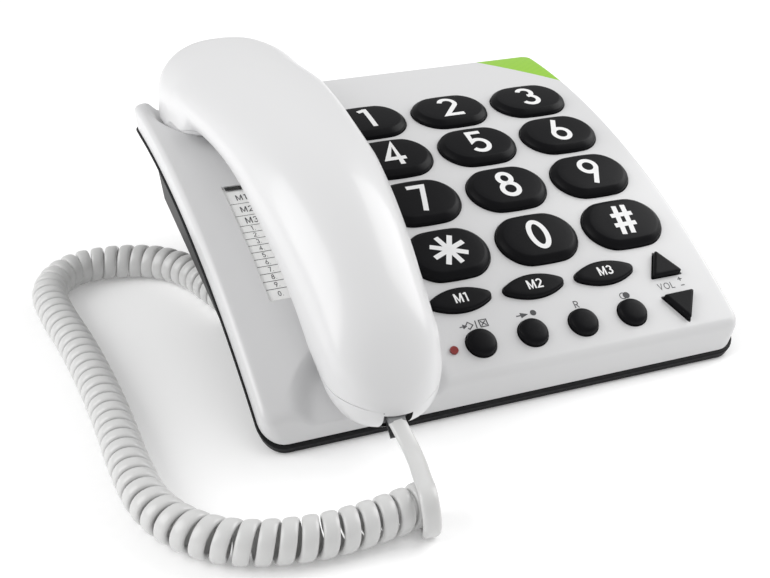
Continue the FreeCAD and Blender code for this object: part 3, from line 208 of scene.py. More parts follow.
def material(
    name, color, roughness, coat=0.0, grain=0.0, grain_scale=900.0, metallic=0.0, alpha=1.0,
    glow=0.0, specular=0.5,
):
    """A single colour with a fine moulded grain as bump. A glow makes it shine by itself."""
    result = bpy.data.materials.new(name)
    result.use_nodes = True
    tree = result.node_tree
    shader = tree.nodes["Principled BSDF"]
    shader.inputs["Base Color"].default_value = (*color, 1.0)
    shader.inputs["Roughness"].default_value = roughness
    shader.inputs["Metallic"].default_value = metallic
    shader.inputs["Specular IOR Level"].default_value = specular
    shader.inputs["Coat Weight"].default_value = coat
    shader.inputs["Coat Roughness"].default_value = COAT_ROUGHNESS
    shader.inputs["Alpha"].default_value = alpha
    if glow:
        shader.inputs["Emission Color"].default_value = (*color, 1.0)
        shader.inputs["Emission Strength"].default_value = glow
    if grain:
        place = tree.nodes.new("ShaderNodeTexCoord")
        noise = tree.nodes.new("ShaderNodeTexNoise")
        noise.inputs["Scale"].default_value = grain_scale
        noise.inputs["Detail"].default_value = 3.0
        bump = tree.nodes.new("ShaderNodeBump")
        bump.inputs["Strength"].default_value = grain
        bump.inputs["Distance"].default_value = GRAIN_HEIGHT
        tree.links.new(place.outputs["Object"], noise.inputs["Vector"])
        tree.links.new(noise.outputs["Fac"], bump.inputs["Height"])
        tree.links.new(bump.outputs["Normal"], shader.inputs["Normal"])
    return result


white_shell = material("white_shell", (0.67, 0.67, 0.675), 0.3, coat=0.12, grain=0.03)
white_handset = material("white_handset", (0.72, 0.72, 0.725), 0.3, coat=0.2, grain=0.02)
key_black = material(
    "key_black", (0.004, 0.004, 0.005), 0.38, grain=0.12, grain_scale=1400, specular=0.1
)
band_black = material("band_black", (0.008, 0.008, 0.009), 0.5, grain=0.15, specular=0.2)
under_grey = material("under_grey", (0.02, 0.02, 0.021), 0.5, grain=0.35, grain_scale=1800)
for look in (white_shell, white_handset, key_black, band_black, under_grey):
    print(f"material {look.name}: {len(look.node_tree.nodes)} nodes")

# %% [markdown]
# The small pieces each get their own colour. Blacks and whites are never quite 0 or 1, as on the
# real thing, so that light still shapes them. The clear cover is nearly see-through and leaves
# only its gloss. The plug is really clear plastic, but a pale grey shows its form better.

# %% Small pieces' materials
foot_rubber = material("foot_rubber", (0.02, 0.02, 0.02), 0.85, grain=0.3, grain_scale=700)
mat_rubber = material("mat_rubber", (0.35, 0.36, 0.38), 0.8, grain=0.2)
board_green = material("board_green", (0.03, 0.2, 0.08), 0.45)
paper = material("paper", (0.93, 0.93, 0.92), 0.7, grain=0.1, grain_scale=2500)
clear_cover = material("clear_cover", (0.95, 0.96, 0.97), 0.08, alpha=0.02)
lamp_red = material("lamp_red", (0.22, 0.012, 0.01), 0.18, coat=0.4)
steel = material("steel", (0.5, 0.5, 0.52), 0.35, metallic=1.0, grain=0.05)
jack_black = material("jack_black", (0.02, 0.02, 0.022), 0.45, grain=0.2)
switch_grey = material("switch_grey", (0.32, 0.32, 0.33), 0.4, grain=0.1)
plug_clear = material("plug_clear", (0.26, 0.265, 0.27), 0.2, coat=0.3)
cord_light = material("cord_light", (0.61, 0.61, 0.605), 0.3, coat=0.15, grain=0.05)
print_white = material("print_white", (0.82, 0.82, 0.82), 0.5)
print_dark = material("print_dark", (0.055, 0.055, 0.06), 0.6)
# painted shade: a near-black that stands in for the shade inside the handset's notch, the finger
# slot of the name list and the holes and slots below the handset
painted_hollow_shade = material("painted_hollow_shade", (0.01, 0.01, 0.01), 0.9)
print("materials in the file so far:", len(bpy.data.materials))

# %% [markdown]
# The base's back right corner is printed in green, with fine slanting lines in two tones. It
# could be a separate patch of mesh, but a print has no thickness. So the white material asks how
# far a point lies towards that corner, and beyond a straight line it takes the greens instead.

# %% Green corner
CORNER_WAY = (0.768, 0.641, 0.0)
CORNER_REACH = 0.1143
HATCH_SCALE = 260.0
GREENS = (0.2, 0.5, 0.003, 1), (0.33, 0.62, 0.008, 1)


def green_corner(look):
    """Where the dot product of place and way is greater than the reach, two greens alternate
    as a slanting wave."""
    tree = look.node_tree
    shader = tree.nodes["Principled BSDF"]
    place = tree.nodes.new("ShaderNodeTexCoord")
    along = tree.nodes.new("ShaderNodeVectorMath")
    along.operation = "DOT_PRODUCT"
    along.inputs[1].default_value = CORNER_WAY
    beyond = tree.nodes.new("ShaderNodeMath")
    beyond.operation = "GREATER_THAN"
    beyond.inputs[1].default_value = CORNER_REACH
    hatch = tree.nodes.new("ShaderNodeTexWave")
    hatch.bands_direction = "DIAGONAL"
    hatch.inputs["Scale"].default_value = HATCH_SCALE
    greens = tree.nodes.new("ShaderNodeMix")
    greens.data_type = "RGBA"
    greens.inputs["A"].default_value, greens.inputs["B"].default_value = GREENS
    both = tree.nodes.new("ShaderNodeMix")
    both.data_type = "RGBA"
    both.inputs["A"].default_value = shader.inputs["Base Color"].default_value
    tree.links.new(place.outputs["Object"], along.inputs[0])
    tree.links.new(along.outputs["Value"], beyond.inputs[0])
    tree.links.new(place.outputs["Object"], hatch.inputs["Vector"])
    tree.links.new(hatch.outputs["Fac"], greens.inputs["Factor"])
    tree.links.new(beyond.outputs["Value"], both.inputs["Factor"])
    tree.links.new(greens.outputs["Result"], both.inputs["B"])
    tree.links.new(both.outputs["Result"], shader.inputs["Base Color"])


green_corner(white_shell)
print(f"green beyond {CORNER_REACH * 1000:g} mm towards the back right corner")

# %% [markdown]
# The solids that stay visible need a look as well. A table says which material each one gets, and
# whatever it doesn't name is a key.

# %% Looks of the solids
NODE_LOOKS = {
    "rim_band": band_black,
    "lower_housing": under_grey,
    "desk_stand": under_grey,
    "rubber_feet": foot_rubber,
    "circuit_board": board_green,
    "keypad_mat": mat_rubber,
    "name_card": paper,
    "card_cover": clear_cover,
    "status_lamp": lamp_red,
    "ringer_speaker": steel,
    "handset_cord_jack": jack_black,
    "line_jack": jack_black,
    "base_plug": plug_clear,
    "handset_plug": plug_clear,
    "handset_jack": jack_black,
    "receiver_capsule": steel,
    "microphone_capsule": steel,
    "handset_weight": steel,
    "hook_plunger": white_shell,
    "ringer_switch": switch_grey,
    "upper_housing": white_shell,
    "handset_shell": white_handset,
    "handset_cover": white_handset,
    "cord_coil": cord_light,
    "cord_lead_handset": cord_light,
    "cord_lead_base": cord_light,
}
for name, thing in nodes.items():
    thing.data.materials.clear()
    thing.data.materials.append(NODE_LOOKS.get(name, key_black))
print(f"looks: {len(NODE_LOOKS)} solids by name, {len(nodes) - len(NODE_LOOKS)} keys")

# %% [markdown]
# The camera stands at the front left and looks down on the base, as the photograph does. Its
# place and lens were fitted to edges and marks in the photograph. The three directions, to the
# side, up and forward, make the columns of its matrix.

# %% Camera
CAMERA_PLACE = (-200.4, -454.4, 254.1)
CAMERA_LOOK = Vector((0.3370, 0.8274, -0.4493)).normalized()
CAMERA_SIDE = Vector((0.926, -0.377, 0.0)).normalized()
SENSOR_WIDTH, LENS = 36.0, 60.86

camera = bpy.data.objects.new("camera", bpy.data.cameras.new("camera"))
bpy.context.scene.collection.objects.link(camera)
camera.location = spot(CAMERA_PLACE)
camera_up = CAMERA_SIDE.cross(CAMERA_LOOK).normalized()
turned = Matrix((CAMERA_SIDE, camera_up, -CAMERA_LOOK)).transposed().to_4x4()
camera.matrix_world = Matrix.Translation(camera.location) @ turned
camera.data.sensor_width = SENSOR_WIDTH
camera.data.lens = LENS
camera.data.clip_start = 0.01
bpy.context.scene.camera = camera
down = math.degrees(math.asin(-CAMERA_LOOK.z))
print(f"camera: {LENS:g} mm lens, looks {down:.1f} degrees down")

# %% [markdown]
# The cord is one flat wire that joins the handset to the base. From the plug it comes down to the
# desk, winds in tight curls along a loose route, and rises into a socket below the base. Such a
# route could be drawn by hand with a curve tool. Here a few points pull a smooth curve into
# place, so a bend can be moved by changing one pair of numbers.

# %% Routes of the cord
CURL_ROUTE = (
    (-60, -144.5), (-80, -149), (-104, -149), (-128, -140), (-142, -118), (-143.5, -90),
    (-142.5, -60), (-143, -30), (-144.5, 0), (-147.5, 28), (-148, 52), (-136, 69), (-116, 70.5),
    (-97, 63), (-86, 46), (-82, 27), (-78, 12),
)
LEAD_HANDSET = (
    (-57, -113, 18), (-56.2, -120.4, 14.4), (-57.2, -131, 12.8), (-60.4, -142, 14.8),
    (-63.2, -153, 17.4), (-63.4, -157.4, 9), (-62.8, -155, 1.6), (-61, -149, 1.5),
    (-60, -144.5, 1.5),
)
LEAD_BASE = (
    (-78, 12, 13.3), (-73.9, 13.1, 13.3), (-64.2, 15.7, 13.3), (-64.6, 4, 20), (-65, -8, 26.5),
    (-65, -26.5, 26.5),
)
CURL_HEIGHT = 7.4
LEAD_STEP = 1.0


def smooth_route(points):
    """Points along the quadratic curve that a list of control points pulls into place."""
    curve = bpy.data.curves.new("route", "CURVE")
    curve.dimensions = "3D"
    curve.resolution_u = 24
    spline = curve.splines.new("NURBS")
    spline.points.add(len(points) - 1)
    spline.points.foreach_set("co", np.column_stack([points, np.ones(len(points))]).ravel())
    spline.order_u = 3
    spline.use_endpoint_u = True
    thing = bpy.data.objects.new("route", curve)
    bpy.context.scene.collection.objects.link(thing)
    mesh = bpy.data.meshes.new_from_object(thing)
    places = np.empty(3 * len(mesh.vertices), np.float32)
    mesh.vertices.foreach_get("co", places)
    bpy.data.objects.remove(thing)
    bpy.data.meshes.remove(mesh)
    return places.reshape(-1, 3).astype(float)


def resample(points, step):
    """The same line with evenly spaced points, by straight steps between its own."""
    gaps = np.linalg.norm(np.diff(points, axis=0), axis=1)
    length = np.concatenate([[0], np.cumsum(gaps)])
    places = np.linspace(0, length[-1], max(int(length[-1] / step), 4) + 1)
    return np.stack([np.interp(places, length, points[:, axis]) for axis in range(3)], axis=1)


curl_line = smooth_route([(x, y, CURL_HEIGHT) for x, y in CURL_ROUTE])
first_lead = resample(smooth_route(LEAD_HANDSET), LEAD_STEP)
last_lead = resample(smooth_route(LEAD_BASE), LEAD_STEP)
for line in (first_lead, curl_line, last_lead):
    length = np.linalg.norm(np.diff(line, axis=0), axis=1).sum()
    print(f"route: {len(line)} points, {length:.0f} mm")

# %% [markdown]
# The curls are a helix round the route. A screw modifier would make a straight one that then has
# to be bent. Taking each point straight out from the route instead keeps every curl round,
# however the route bends.

# %% Winding
CURL_RADIUS = 5.9
CURL_TURNS = 60.5
POINTS_PER_CURL = 28


def unit(vectors):
    """Each vector over its own length."""
    return vectors / np.linalg.norm(vectors, axis=-1, keepdims=True)


def wound(route, turns):
    """A helix round a route. Each point stands one radius out from the route, and the way out
    turns evenly: minus across times the sine, minus up times the cosine."""
    steps = int(turns * POINTS_PER_CURL) + 1
    length = np.linalg.norm(np.diff(route, axis=0), axis=1).sum()
    centre = resample(route, length / (steps - 1))[:steps]
    along = unit(np.gradient(centre, axis=0))
    across = np.stack([-along[:, 1], along[:, 0], 0 * along[:, 0]], axis=1)
    turn = 2 * math.pi * turns * np.linspace(0, 1, len(centre))[:, None]
    out = -across * np.sin(turn) - np.array([0, 0, 1]) * np.cos(turn)
    return centre + out * CURL_RADIUS, out


curls, curls_out = wound(curl_line, CURL_TURNS)
print(f"curls: {CURL_TURNS:g}, as {len(curls)} points on a radius of {CURL_RADIUS:g} mm")

# %% [markdown]
# The wire is flat, with its broad side facing out of each curl. A round bevel on a curve would
# lose that. So a section is carried along the whole line: the first lead, the curls and the last
# lead in one piece, with the facing blended where they meet so that the wire doesn't kink.

# %% Flat wire
BAND_WIDTH, LEAD_WIDTH, BAND_THICKNESS = 5.3, 6.2, 2.7
WIDTH_BLEND = 14


def band(line, facing, width, thickness):
    """Rings of a flat band with round shoulders. A ring is a superellipse: cosine and sine are
    each raised to three quarters, times half the width and half the thickness."""
    way = unit(np.gradient(line, axis=0))
    face = unit(facing - way * (facing * way).sum(1, keepdims=True))
    wide = np.cross(way, face)
    turn = np.linspace(0, 2 * math.pi, 16, endpoint=False)
    a = np.sign(np.cos(turn)) * np.abs(np.cos(turn)) ** 0.75 / 2
    b = np.sign(np.sin(turn)) * np.abs(np.sin(turn)) ** 0.75 * thickness / 2
    across = wide[:, None] * (width[:, None] * a[None])[:, :, None]
    return line[:, None] + across + face[:, None] * b[None, :, None]


lead_way = unit(np.gradient(first_lead, axis=0))
first_facing = np.cross(lead_way, np.array([1.0, 0, 0]))
last_facing = np.tile(np.array([0.0, 0, 1.0]), (len(last_lead), 1))
cord_line = np.concatenate([first_lead[:-2], curls[2:-2], last_lead[2:]])
facing = np.concatenate([first_facing[:-2], curls_out[2:-2], last_facing[2:]])
for _ in range(3):
    facing[1:-1] = unit(facing[:-2] + 2 * facing[1:-1] + facing[2:])
start = len(first_lead)
numbers = np.arange(len(cord_line))
width = np.interp(numbers, (start - WIDTH_BLEND, start), (LEAD_WIDTH, BAND_WIDTH))
points, faces = closed_tube(band(cord_line, facing, width, BAND_THICKNESS))
cord = new_object("cord_band", points, faces, cord_light, "base", sharp=80)
outward(cord)
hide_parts("cord_coil", "cord_lead_handset", "cord_lead_base")
print(f"wire: {np.linalg.norm(np.diff(cord_line, axis=0), axis=1).sum() / 1000:.3f} m long")

# %% [markdown]
# Two shallow oval dishes in the top hold the handset, a wide one below the ear and a smaller one
# below the mouth. They could be pressed in with a sculpting brush. As a depth that is taken off
# the drum's height, they stay smooth, and the same numbers can be used again by the handset.

# %% Rests for the handset
EAR_REST = (79.0, 36.5, 37.0, 4.9, 0.84)
MOUTH_REST = (-90.0, 29.5, 23.0, 4.0, 0.72)


def smooth_step(value):
    """Rises from 0 to 1 with no slope at either end: three parts square, less two parts cube."""
    value = np.clip(value, 0.0, 1.0)
    return value * value * (3 - 2 * value)


def rest_depth(x, y):
    """How deep the two rests lie below the top. Each gives its middle, its half width and half
    depth, how deep it is, and the share of its size at which its rim starts to rise."""
    depth = 0.0
    for middle, half_x, half_y, deep, edge in (EAR_REST, MOUTH_REST):
        out = np.hypot((x - HANDSET_X) / half_x, (y - middle) / half_y)
        depth = depth + deep * (1 - smooth_step((out - edge) / (1 - edge)))
    return depth


print(f"rests: {rest_depth(HANDSET_X, 79.0):.1f} and {rest_depth(HANDSET_X, -90.0):.1f} mm deep")

# %% [markdown]
# The white top is a shell with upright walls and a small round edge where they meet the curved
# face. A cube with a bevel would have too few faces for the rests. So it is a stack of rounded
# rectangles: up the wall, round the edge, and then ever smaller ones that follow the drum inwards.

# %% Rings of the top
SKIRT_DEPTH, FADE_DEPTH = 9.4, 6.0
PLAN_CORNER, RIDGE_CORNER, EDGE_ROUND = 8.5, 4.5, 2.4
WALL_OUT = 2.3
RING_STEP = 1.4
FLOOR_DEPTH = 14.0
CORNER_SIGNS = np.array([(1, 1), (-1, 1), (-1, -1), (1, -1)])


def circle(turns):
    """Points of the unit circle: the cosine and the sine of each angle."""
    return np.stack([np.cos(turns), np.sin(turns)], axis=-1)


def plan_ring(inset, radius):
    """A rounded rectangle, drawn in from the base's plan: four quarter circles of nine points,
    each followed by 95 points along a straight side."""
    half = np.array([HALF_WIDTH, HALF_DEPTH]) - inset
    radius = min(radius, *(0.9 * half))
    turn = np.radians(90 * np.arange(4)[:, None] + 11.25 * np.arange(9))
    corners = (CORNER_SIGNS * (half - radius))[:, None] + radius * circle(turn)
    start, end = corners[:, -1:], np.roll(corners[:, :1], -1, axis=0)
    sides = start + (end - start) * np.arange(1, 96)[None, :, None] / 96
    return np.concatenate([corners, sides], axis=1).reshape(-1, 2)


def crown_ring(inset, depth, radius):
    """A rounded rectangle laid on the drum at a depth. The rests fade out down the wall: their
    share is one less the depth over the depth at which they end."""
    plan = plan_ring(inset, radius)
    fade = max(0.0, 1 - depth / FADE_DEPTH)
    sunk = depth + rest_depth(plan[:, 0], plan[:, 1]) * fade
    return np.column_stack([plan, crown_height(plan[:, 1], sunk)])


turns = np.linspace(0, math.pi / 2, 11)
edge_in, edge_down = EDGE_ROUND * (1 - circle(turns)).T
edge = [*zip(edge_in - WALL_OUT, edge_down, RIDGE_CORNER - 0.8 * turns)]
wall = [
    (1.5, SKIRT_DEPTH, 6.0),
    (0.5 - WALL_OUT, SKIRT_DEPTH, PLAN_CORNER - 0.5),
    (0.1 - WALL_OUT, SKIRT_DEPTH - 0.3, PLAN_CORNER),
    (-WALL_OUT, 6.0, 6.6),
]
insets = np.arange(EDGE_ROUND - WALL_OUT + RING_STEP, HALF_DEPTH - 0.6, RING_STEP)
levels = wall + edge + [(inset, 0.0, 3.0) for inset in insets]
shell_points, shell_faces = closed_tube([crown_ring(*level) for level in levels])
shell_points[-2] = (0, 0, float(crown_height(0.0, FLOOR_DEPTH)))
shell_points[-1] = (0, 0, float(crown_height(0.0)))
print(f"top: {len(levels)} rings, {len(shell_points)} points")

# %% [markdown]
# The keys come in five outlines: bulging rounded rectangles for dialling, pointed ovals for the
# memories, discs for the functions and two triangles for the volume. Each outline is a function
# of how far it is drawn in, so one function gives all the rings of a key, and the hole round it.

# %% Outlines of the keys


def shrink(outline, inset):
    """Every point moves straight in, at right angles to the line through its neighbours."""
    ahead = np.roll(outline, -1, axis=0) - np.roll(outline, 1, axis=0)
    inward = unit(np.column_stack([-ahead[:, 1], ahead[:, 0]]))
    return outline + inward * inset


def barrel(inset):
    """A rounded rectangle whose long sides bulge: its height grows by up to 0.147 of itself,
    less towards its ends as a parabola."""
    half_x, half_y, corner = 17.0, 10.9, 10.6
    reach = half_x - corner
    turn = np.radians(90 * np.arange(4)[:, None] + 90 * np.arange(17) / 16)
    arcs = (CORNER_SIGNS * (reach, half_y - corner))[:, None] + corner * circle(turn)
    side = np.column_stack([reach * (1 - np.arange(1, 16) / 8), np.full(15, half_y)])
    spots = np.concatenate([arcs[0], side, arcs[1], arcs[2], -side, arcs[3]])
    spots[:, 1] *= 1 + 0.147 * (1 - (spots[:, 0] / half_x) ** 2)
    return shrink(spots, inset)


def lens(inset):
    """Two arcs that meet in small round tips: a thinner lens grown evenly by the tip's radius.
    An arc's radius is the sum of both half sizes squared over twice the half height."""
    tip_radius = 2.1
    tip = max(tip_radius - inset, 0.05)
    half_x, half_y = 12.7 - tip_radius, 5.2 - tip_radius
    big = (half_x**2 + half_y**2) / (2 * half_y)
    drop = big - half_y
    big = big - max(inset - 2.05, 0.0)
    reach = math.sqrt(big**2 - drop**2)
    half = math.asin(reach / big)
    side = (big + tip) * circle(math.pi / 2 + half * np.linspace(-1, 1, 25)) - (0, drop)
    round_turn = math.pi / 2 + half + (math.pi - 2 * half) * np.arange(1, 6) / 6
    side = np.concatenate([side, tip * circle(round_turn) - (reach, 0)])
    return np.concatenate([side, -side])


def disc(inset, radius=5.75, count=64):
    """A circle whose radius is less by the inset."""
    return (radius - inset) * circle(np.linspace(0, 2 * math.pi, count, endpoint=False))


UP = np.array([(-6.9, -4.4), (6.3, -4.4), (-0.6, 7.3)])
DOWN = np.array([(-0.8, -10.0), (6.7, 2.6), (-7.1, 2.4)])


def triangle(corners, inset, radius=0.6):
    """A triangle scaled about the middle of its inscribed circle, with small round corners. The
    middle is the mean of the corners, each weighted by the side across from it."""
    sides = np.linalg.norm(np.roll(corners, -1, axis=0) - np.roll(corners, 1, axis=0), axis=1)
    middle = (corners * sides[:, None]).sum(0) / sides.sum()
    (ax, ay), (bx, by) = corners[1] - corners[0], corners[2] - corners[0]
    inner = abs(ax * by - ay * bx) / sides.sum()
    corners = middle + (corners - middle) * (inner - inset - radius) / inner
    before, after = np.roll(corners, 1, axis=0) - corners, np.roll(corners, -1, axis=0) - corners
    start = np.arctan2(before[:, 0], -before[:, 1])
    end = np.arctan2(-after[:, 0], after[:, 1])
    turn = np.linspace(start, end + 2 * math.pi * (end < start), 7, axis=1)
    return (corners[:, None] + radius * circle(turn)).reshape(-1, 2)


for outline in (barrel(0), lens(0), disc(0), triangle(UP, 0), triangle(DOWN, 0)):
    wide, deep = np.ptp(outline, axis=0)
    print(f"outline: {len(outline)} points, {wide:.1f} by {deep:.1f} mm")

# %% [markdown]
# Every kind of key also has a profile, which is a list of how far in and how high each ring lies,
# and a softly domed top. The places follow the key plan: four rows of three, a row of three
# memories, a row of four functions and the volume pair at the right.

# %% Kinds and places of the keys


def domed(edge, rise, half_x, half_y):
    """The height of a key's top: its edge plus a rise that falls off as a parabola both ways."""

    def top(u, v):
        across, along = np.minimum((u / half_x) ** 2, 1), np.minimum((v / half_y) ** 2, 1)
        return edge + rise * (1 - across) * (1 - along)

    return top


DIAL_PROFILE = (
    (0, -3), (0, 0.9), (0.1, 1.2), (0.35, 1.5), (1.2, 2.22), (2.1, 2.86), (2.4, 3.0), (2.8, 3.06)
)
MEMORY_PROFILE = ((0, -3), (0, 1.35), (0.12, 1.65), (0.5, 1.95), (0.8, 2.05))
FUNCTION_PROFILE = ((0, -3), (0, 1.2), (0.2, 1.65), (0.6, 2.05), (1.2, 2.4), (1.9, 2.6))
VOLUME_PROFILE = ((0, -3), (0, 1.95), (0.12, 2.2), (0.4, 2.4))
FORMS = {
    "dial": (barrel, DIAL_PROFILE, domed(3.06, 0.3, 14.4, 9.9)),
    "memory": (lens, MEMORY_PROFILE, domed(2.05, 0.2, 12, 4.6)),
    "function": (disc, FUNCTION_PROFILE, domed(2.6, 0.25, 3.9, 3.9)),
    "volume_up": (lambda inset: triangle(UP, inset), VOLUME_PROFILE, domed(2.4, 0, 9, 9)),
    "volume_down": (lambda inset: triangle(DOWN, inset), VOLUME_PROFILE, domed(2.4, 0, 9, 9)),
}

KEYS = []
DIAL = (("1", "2", "3"), ("4", "5", "6"), ("7", "8", "9"), ("star", "0", "hash"))
for row, names in enumerate(DIAL):
    for column, name in enumerate(names):
        KEYS.append((f"key_{name}", "dial", -7.2 + 38.6 * column, crown_angle(29.34 * row)))
for number in range(3):
    place = -11.05 + 30.9 * number
    KEYS.append((f"key_memory_{number + 1}", "memory", place, crown_angle(110.1)))
for number, name in enumerate(("store", "redial", "recall", "mute")):
    KEYS.append((f"key_{name}", "function", -10.1 + 21.4 * number, crown_angle(129.7)))
KEYS.append(("key_volume_up", "volume_up", 76.6, crown_angle(112.2)))
KEYS.append(("key_volume_down", "volume_down", 76.6, crown_angle(128.2)))
print(f"keys: {len(KEYS)} of {len(FORMS)} kinds")

# %% [markdown]
# A cap is the stack of its rings, closed by four ever smaller ones over the dome. It replaces the
# plain solid of the same key and rides with it, so it goes down when the key is pressed. The same
# outline, a little larger, becomes a column that later cuts the key's hole.

# %% Key caps
KEY_GAP = 0.45
HOLE_REACH = (-4.5, 9)
DOME_SHARES = (0.8, 0.6, 0.4, 0.2)


def key_rings(kind, x, angle):
    """The rings of a key's profile, then its top's outline at shrinking shares of its size."""
    outline, profile, top = FORMS[kind]
    rings = [on_plane(x, angle, *outline(inset).T, h) for inset, h in profile]
    for inner in (share * outline(profile[-1][0]).T for share in DOME_SHARES):
        rings.append(on_plane(x, angle, *inner, top(*inner)))
    return rings


def column_rings(outline, x, angle, low, high):
    """An outline at two heights over the drum, as a column at right angles to it."""
    return [on_plane(x, angle, *outline.T, np.full(len(outline), h)) for h in (low, high)]


cutters = []
for name, kind, x, angle in KEYS:
    points, faces = closed_tube(key_rings(kind, x, angle))
    key = new_object(f"cap_{name}", points, faces, key_black, name, sharp=38)
    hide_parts(name)
    cutters.append(column_rings(FORMS[kind][0](-KEY_GAP), x, angle, *HOLE_REACH))
print(f"caps: {len(cutters)}, with {KEY_GAP:g} mm round each")

# %% [markdown]
# The top has 24 openings: one for each key, one for the red lamp, one for the hook plunger that
# the handset presses down, and the wide shallow one for the name list. Each gets a tool, a
# closed piece with the opening's form that reaches right through the surface. The tool for the
# name list follows the drum and stays shallow, so the list gets a floor to lie on.

# %% Tools for the openings
CARD_OPENING = (-80.7, -33.3, -49.7, 10.7)
LAMP = (-21.4, 130.4, 1.65)
HOOK = (HANDSET_X, 55.5, 3.9)


def card_sheet(low_depth, high_depth, edges=CARD_OPENING, rows=24):
    """A closed slab that follows the drum, between two depths and four edges: left, right, front
    and back. Each row has four corners, and the rows run from front to back."""
    left, right, front, back = edges
    y = np.linspace(front, back, rows)
    low, high = crown_height(y, low_depth), crown_height(y, high_depth)
    corners = ((left, low), (left, high), (right, high), (right, low))
    return np.stack([np.column_stack([np.full(rows, x), y, z]) for x, z in corners], axis=1)


lamp_x, lamp_place, lamp_radius = LAMP
cutters.append(column_rings(disc(0, lamp_radius, 24), lamp_x, crown_angle(lamp_place), -4, 4))
hook = disc(0, HOOK[2], 48) + HOOK[:2]
cutters.append([np.column_stack([hook, np.full(len(hook), z)]) for z in (48.0, 80.0)])
cutters.append(card_sheet(1.3, -3.0))
print(f"tools: {len(cutters)}")

# %% [markdown]
# Openings could be left out of the rings of the top, but then every ring would have to go round
# them. Their edges also have to be crisp, which is what a boolean is good at. So all tools are
# put into one mesh, and the whole of it is taken away from the top in a single step.

# %% Cut the openings
CUT_SHARP = 28


def carve(thing, tool):
    """Take the tool away from the thing and drop the tool. Edges that bend by more than the
    sharp angle stay sharp."""
    step = thing.modifiers.new("carve", "BOOLEAN")
    step.operation = "DIFFERENCE"
    step.solver = "MANIFOLD"
    step.object = tool
    bpy.context.view_layer.update()
    view = bpy.context.evaluated_depsgraph_get()
    mesh = bpy.data.meshes.new_from_object(thing.evaluated_get(view))
    thing.modifiers.clear()
    thing.data = mesh
    mesh.polygons.foreach_set("use_smooth", [True] * len(mesh.polygons))
    mesh.set_sharp_from_angle(angle=math.radians(CUT_SHARP))
    bpy.data.objects.remove(tool)


tools = joined([closed_tube(rings) for rings in cutters])
cutter = new_object("cutter", *tools, white_shell, None, smooth=False)
shell = new_object("top_shell", shell_points, shell_faces, white_shell, None)
outward(cutter)
outward(shell)
carve(shell, cutter)
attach(shell, "base")
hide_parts("upper_housing")
print(f"top with openings: {len(shell.data.polygons)} faces")

# %% [markdown]
# A black band runs round the base just below the white walls. It is nearly flush with them, and
# stands out by less than a millimetre so that it catches a thin line of shade. Six rings are
# enough: they go round the band's section, and the last joins the first.

# %% Black band
BAND_DEPTH = 13.0
BAND_SECTION = (
    (3.5, SKIRT_DEPTH + 0.1, 5.0),
    (-0.4 - WALL_OUT, SKIRT_DEPTH + 0.1, 8.4),
    (-0.7 - WALL_OUT, SKIRT_DEPTH + 0.4, 9.0),
    (0.3 - WALL_OUT, BAND_DEPTH - 0.8, 8.4),
    (1.0 - WALL_OUT, BAND_DEPTH - 0.4, 7.8),
    (3.5, BAND_DEPTH, 5.0),
)
band_rings = np.array([crown_ring(*level) for level in BAND_SECTION])
rows, columns = band_rings.shape[:2]
faces = (grid_faces(rows + 1, columns) % (rows * columns)).tolist()
points = band_rings.reshape(-1, 3)
rim_band = new_object("black_band", points, faces, band_black, "base", sharp=25)
outward(rim_band)
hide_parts("rim_band")
print(f"band: {BAND_DEPTH - SKIRT_DEPTH:.1f} mm high, {len(faces)} faces")

# %% [markdown]
# The large digits are what makes this telephone easy to use. A font would bring its own shapes
# and need converting, so each sign is drawn as a few strokes of even width, in a box that is one
# unit high with its middle at 0. The first number is the box's width.

# %% Strokes of the signs


def arc(x, y, half_x, half_y, start, end, count=28):
    """Part of an ellipse round (x, y), between two angles in degrees."""
    return circle(np.radians(np.linspace(start, end, count))) * (half_x, half_y) + (x, y)


def path(*spots):
    """A line from corner to corner."""
    return np.array(spots, float)


def spoke(degrees):
    """A line through the middle of the box, one unit long."""
    end = 0.5 * circle(np.radians(degrees))
    return path(end, -end)


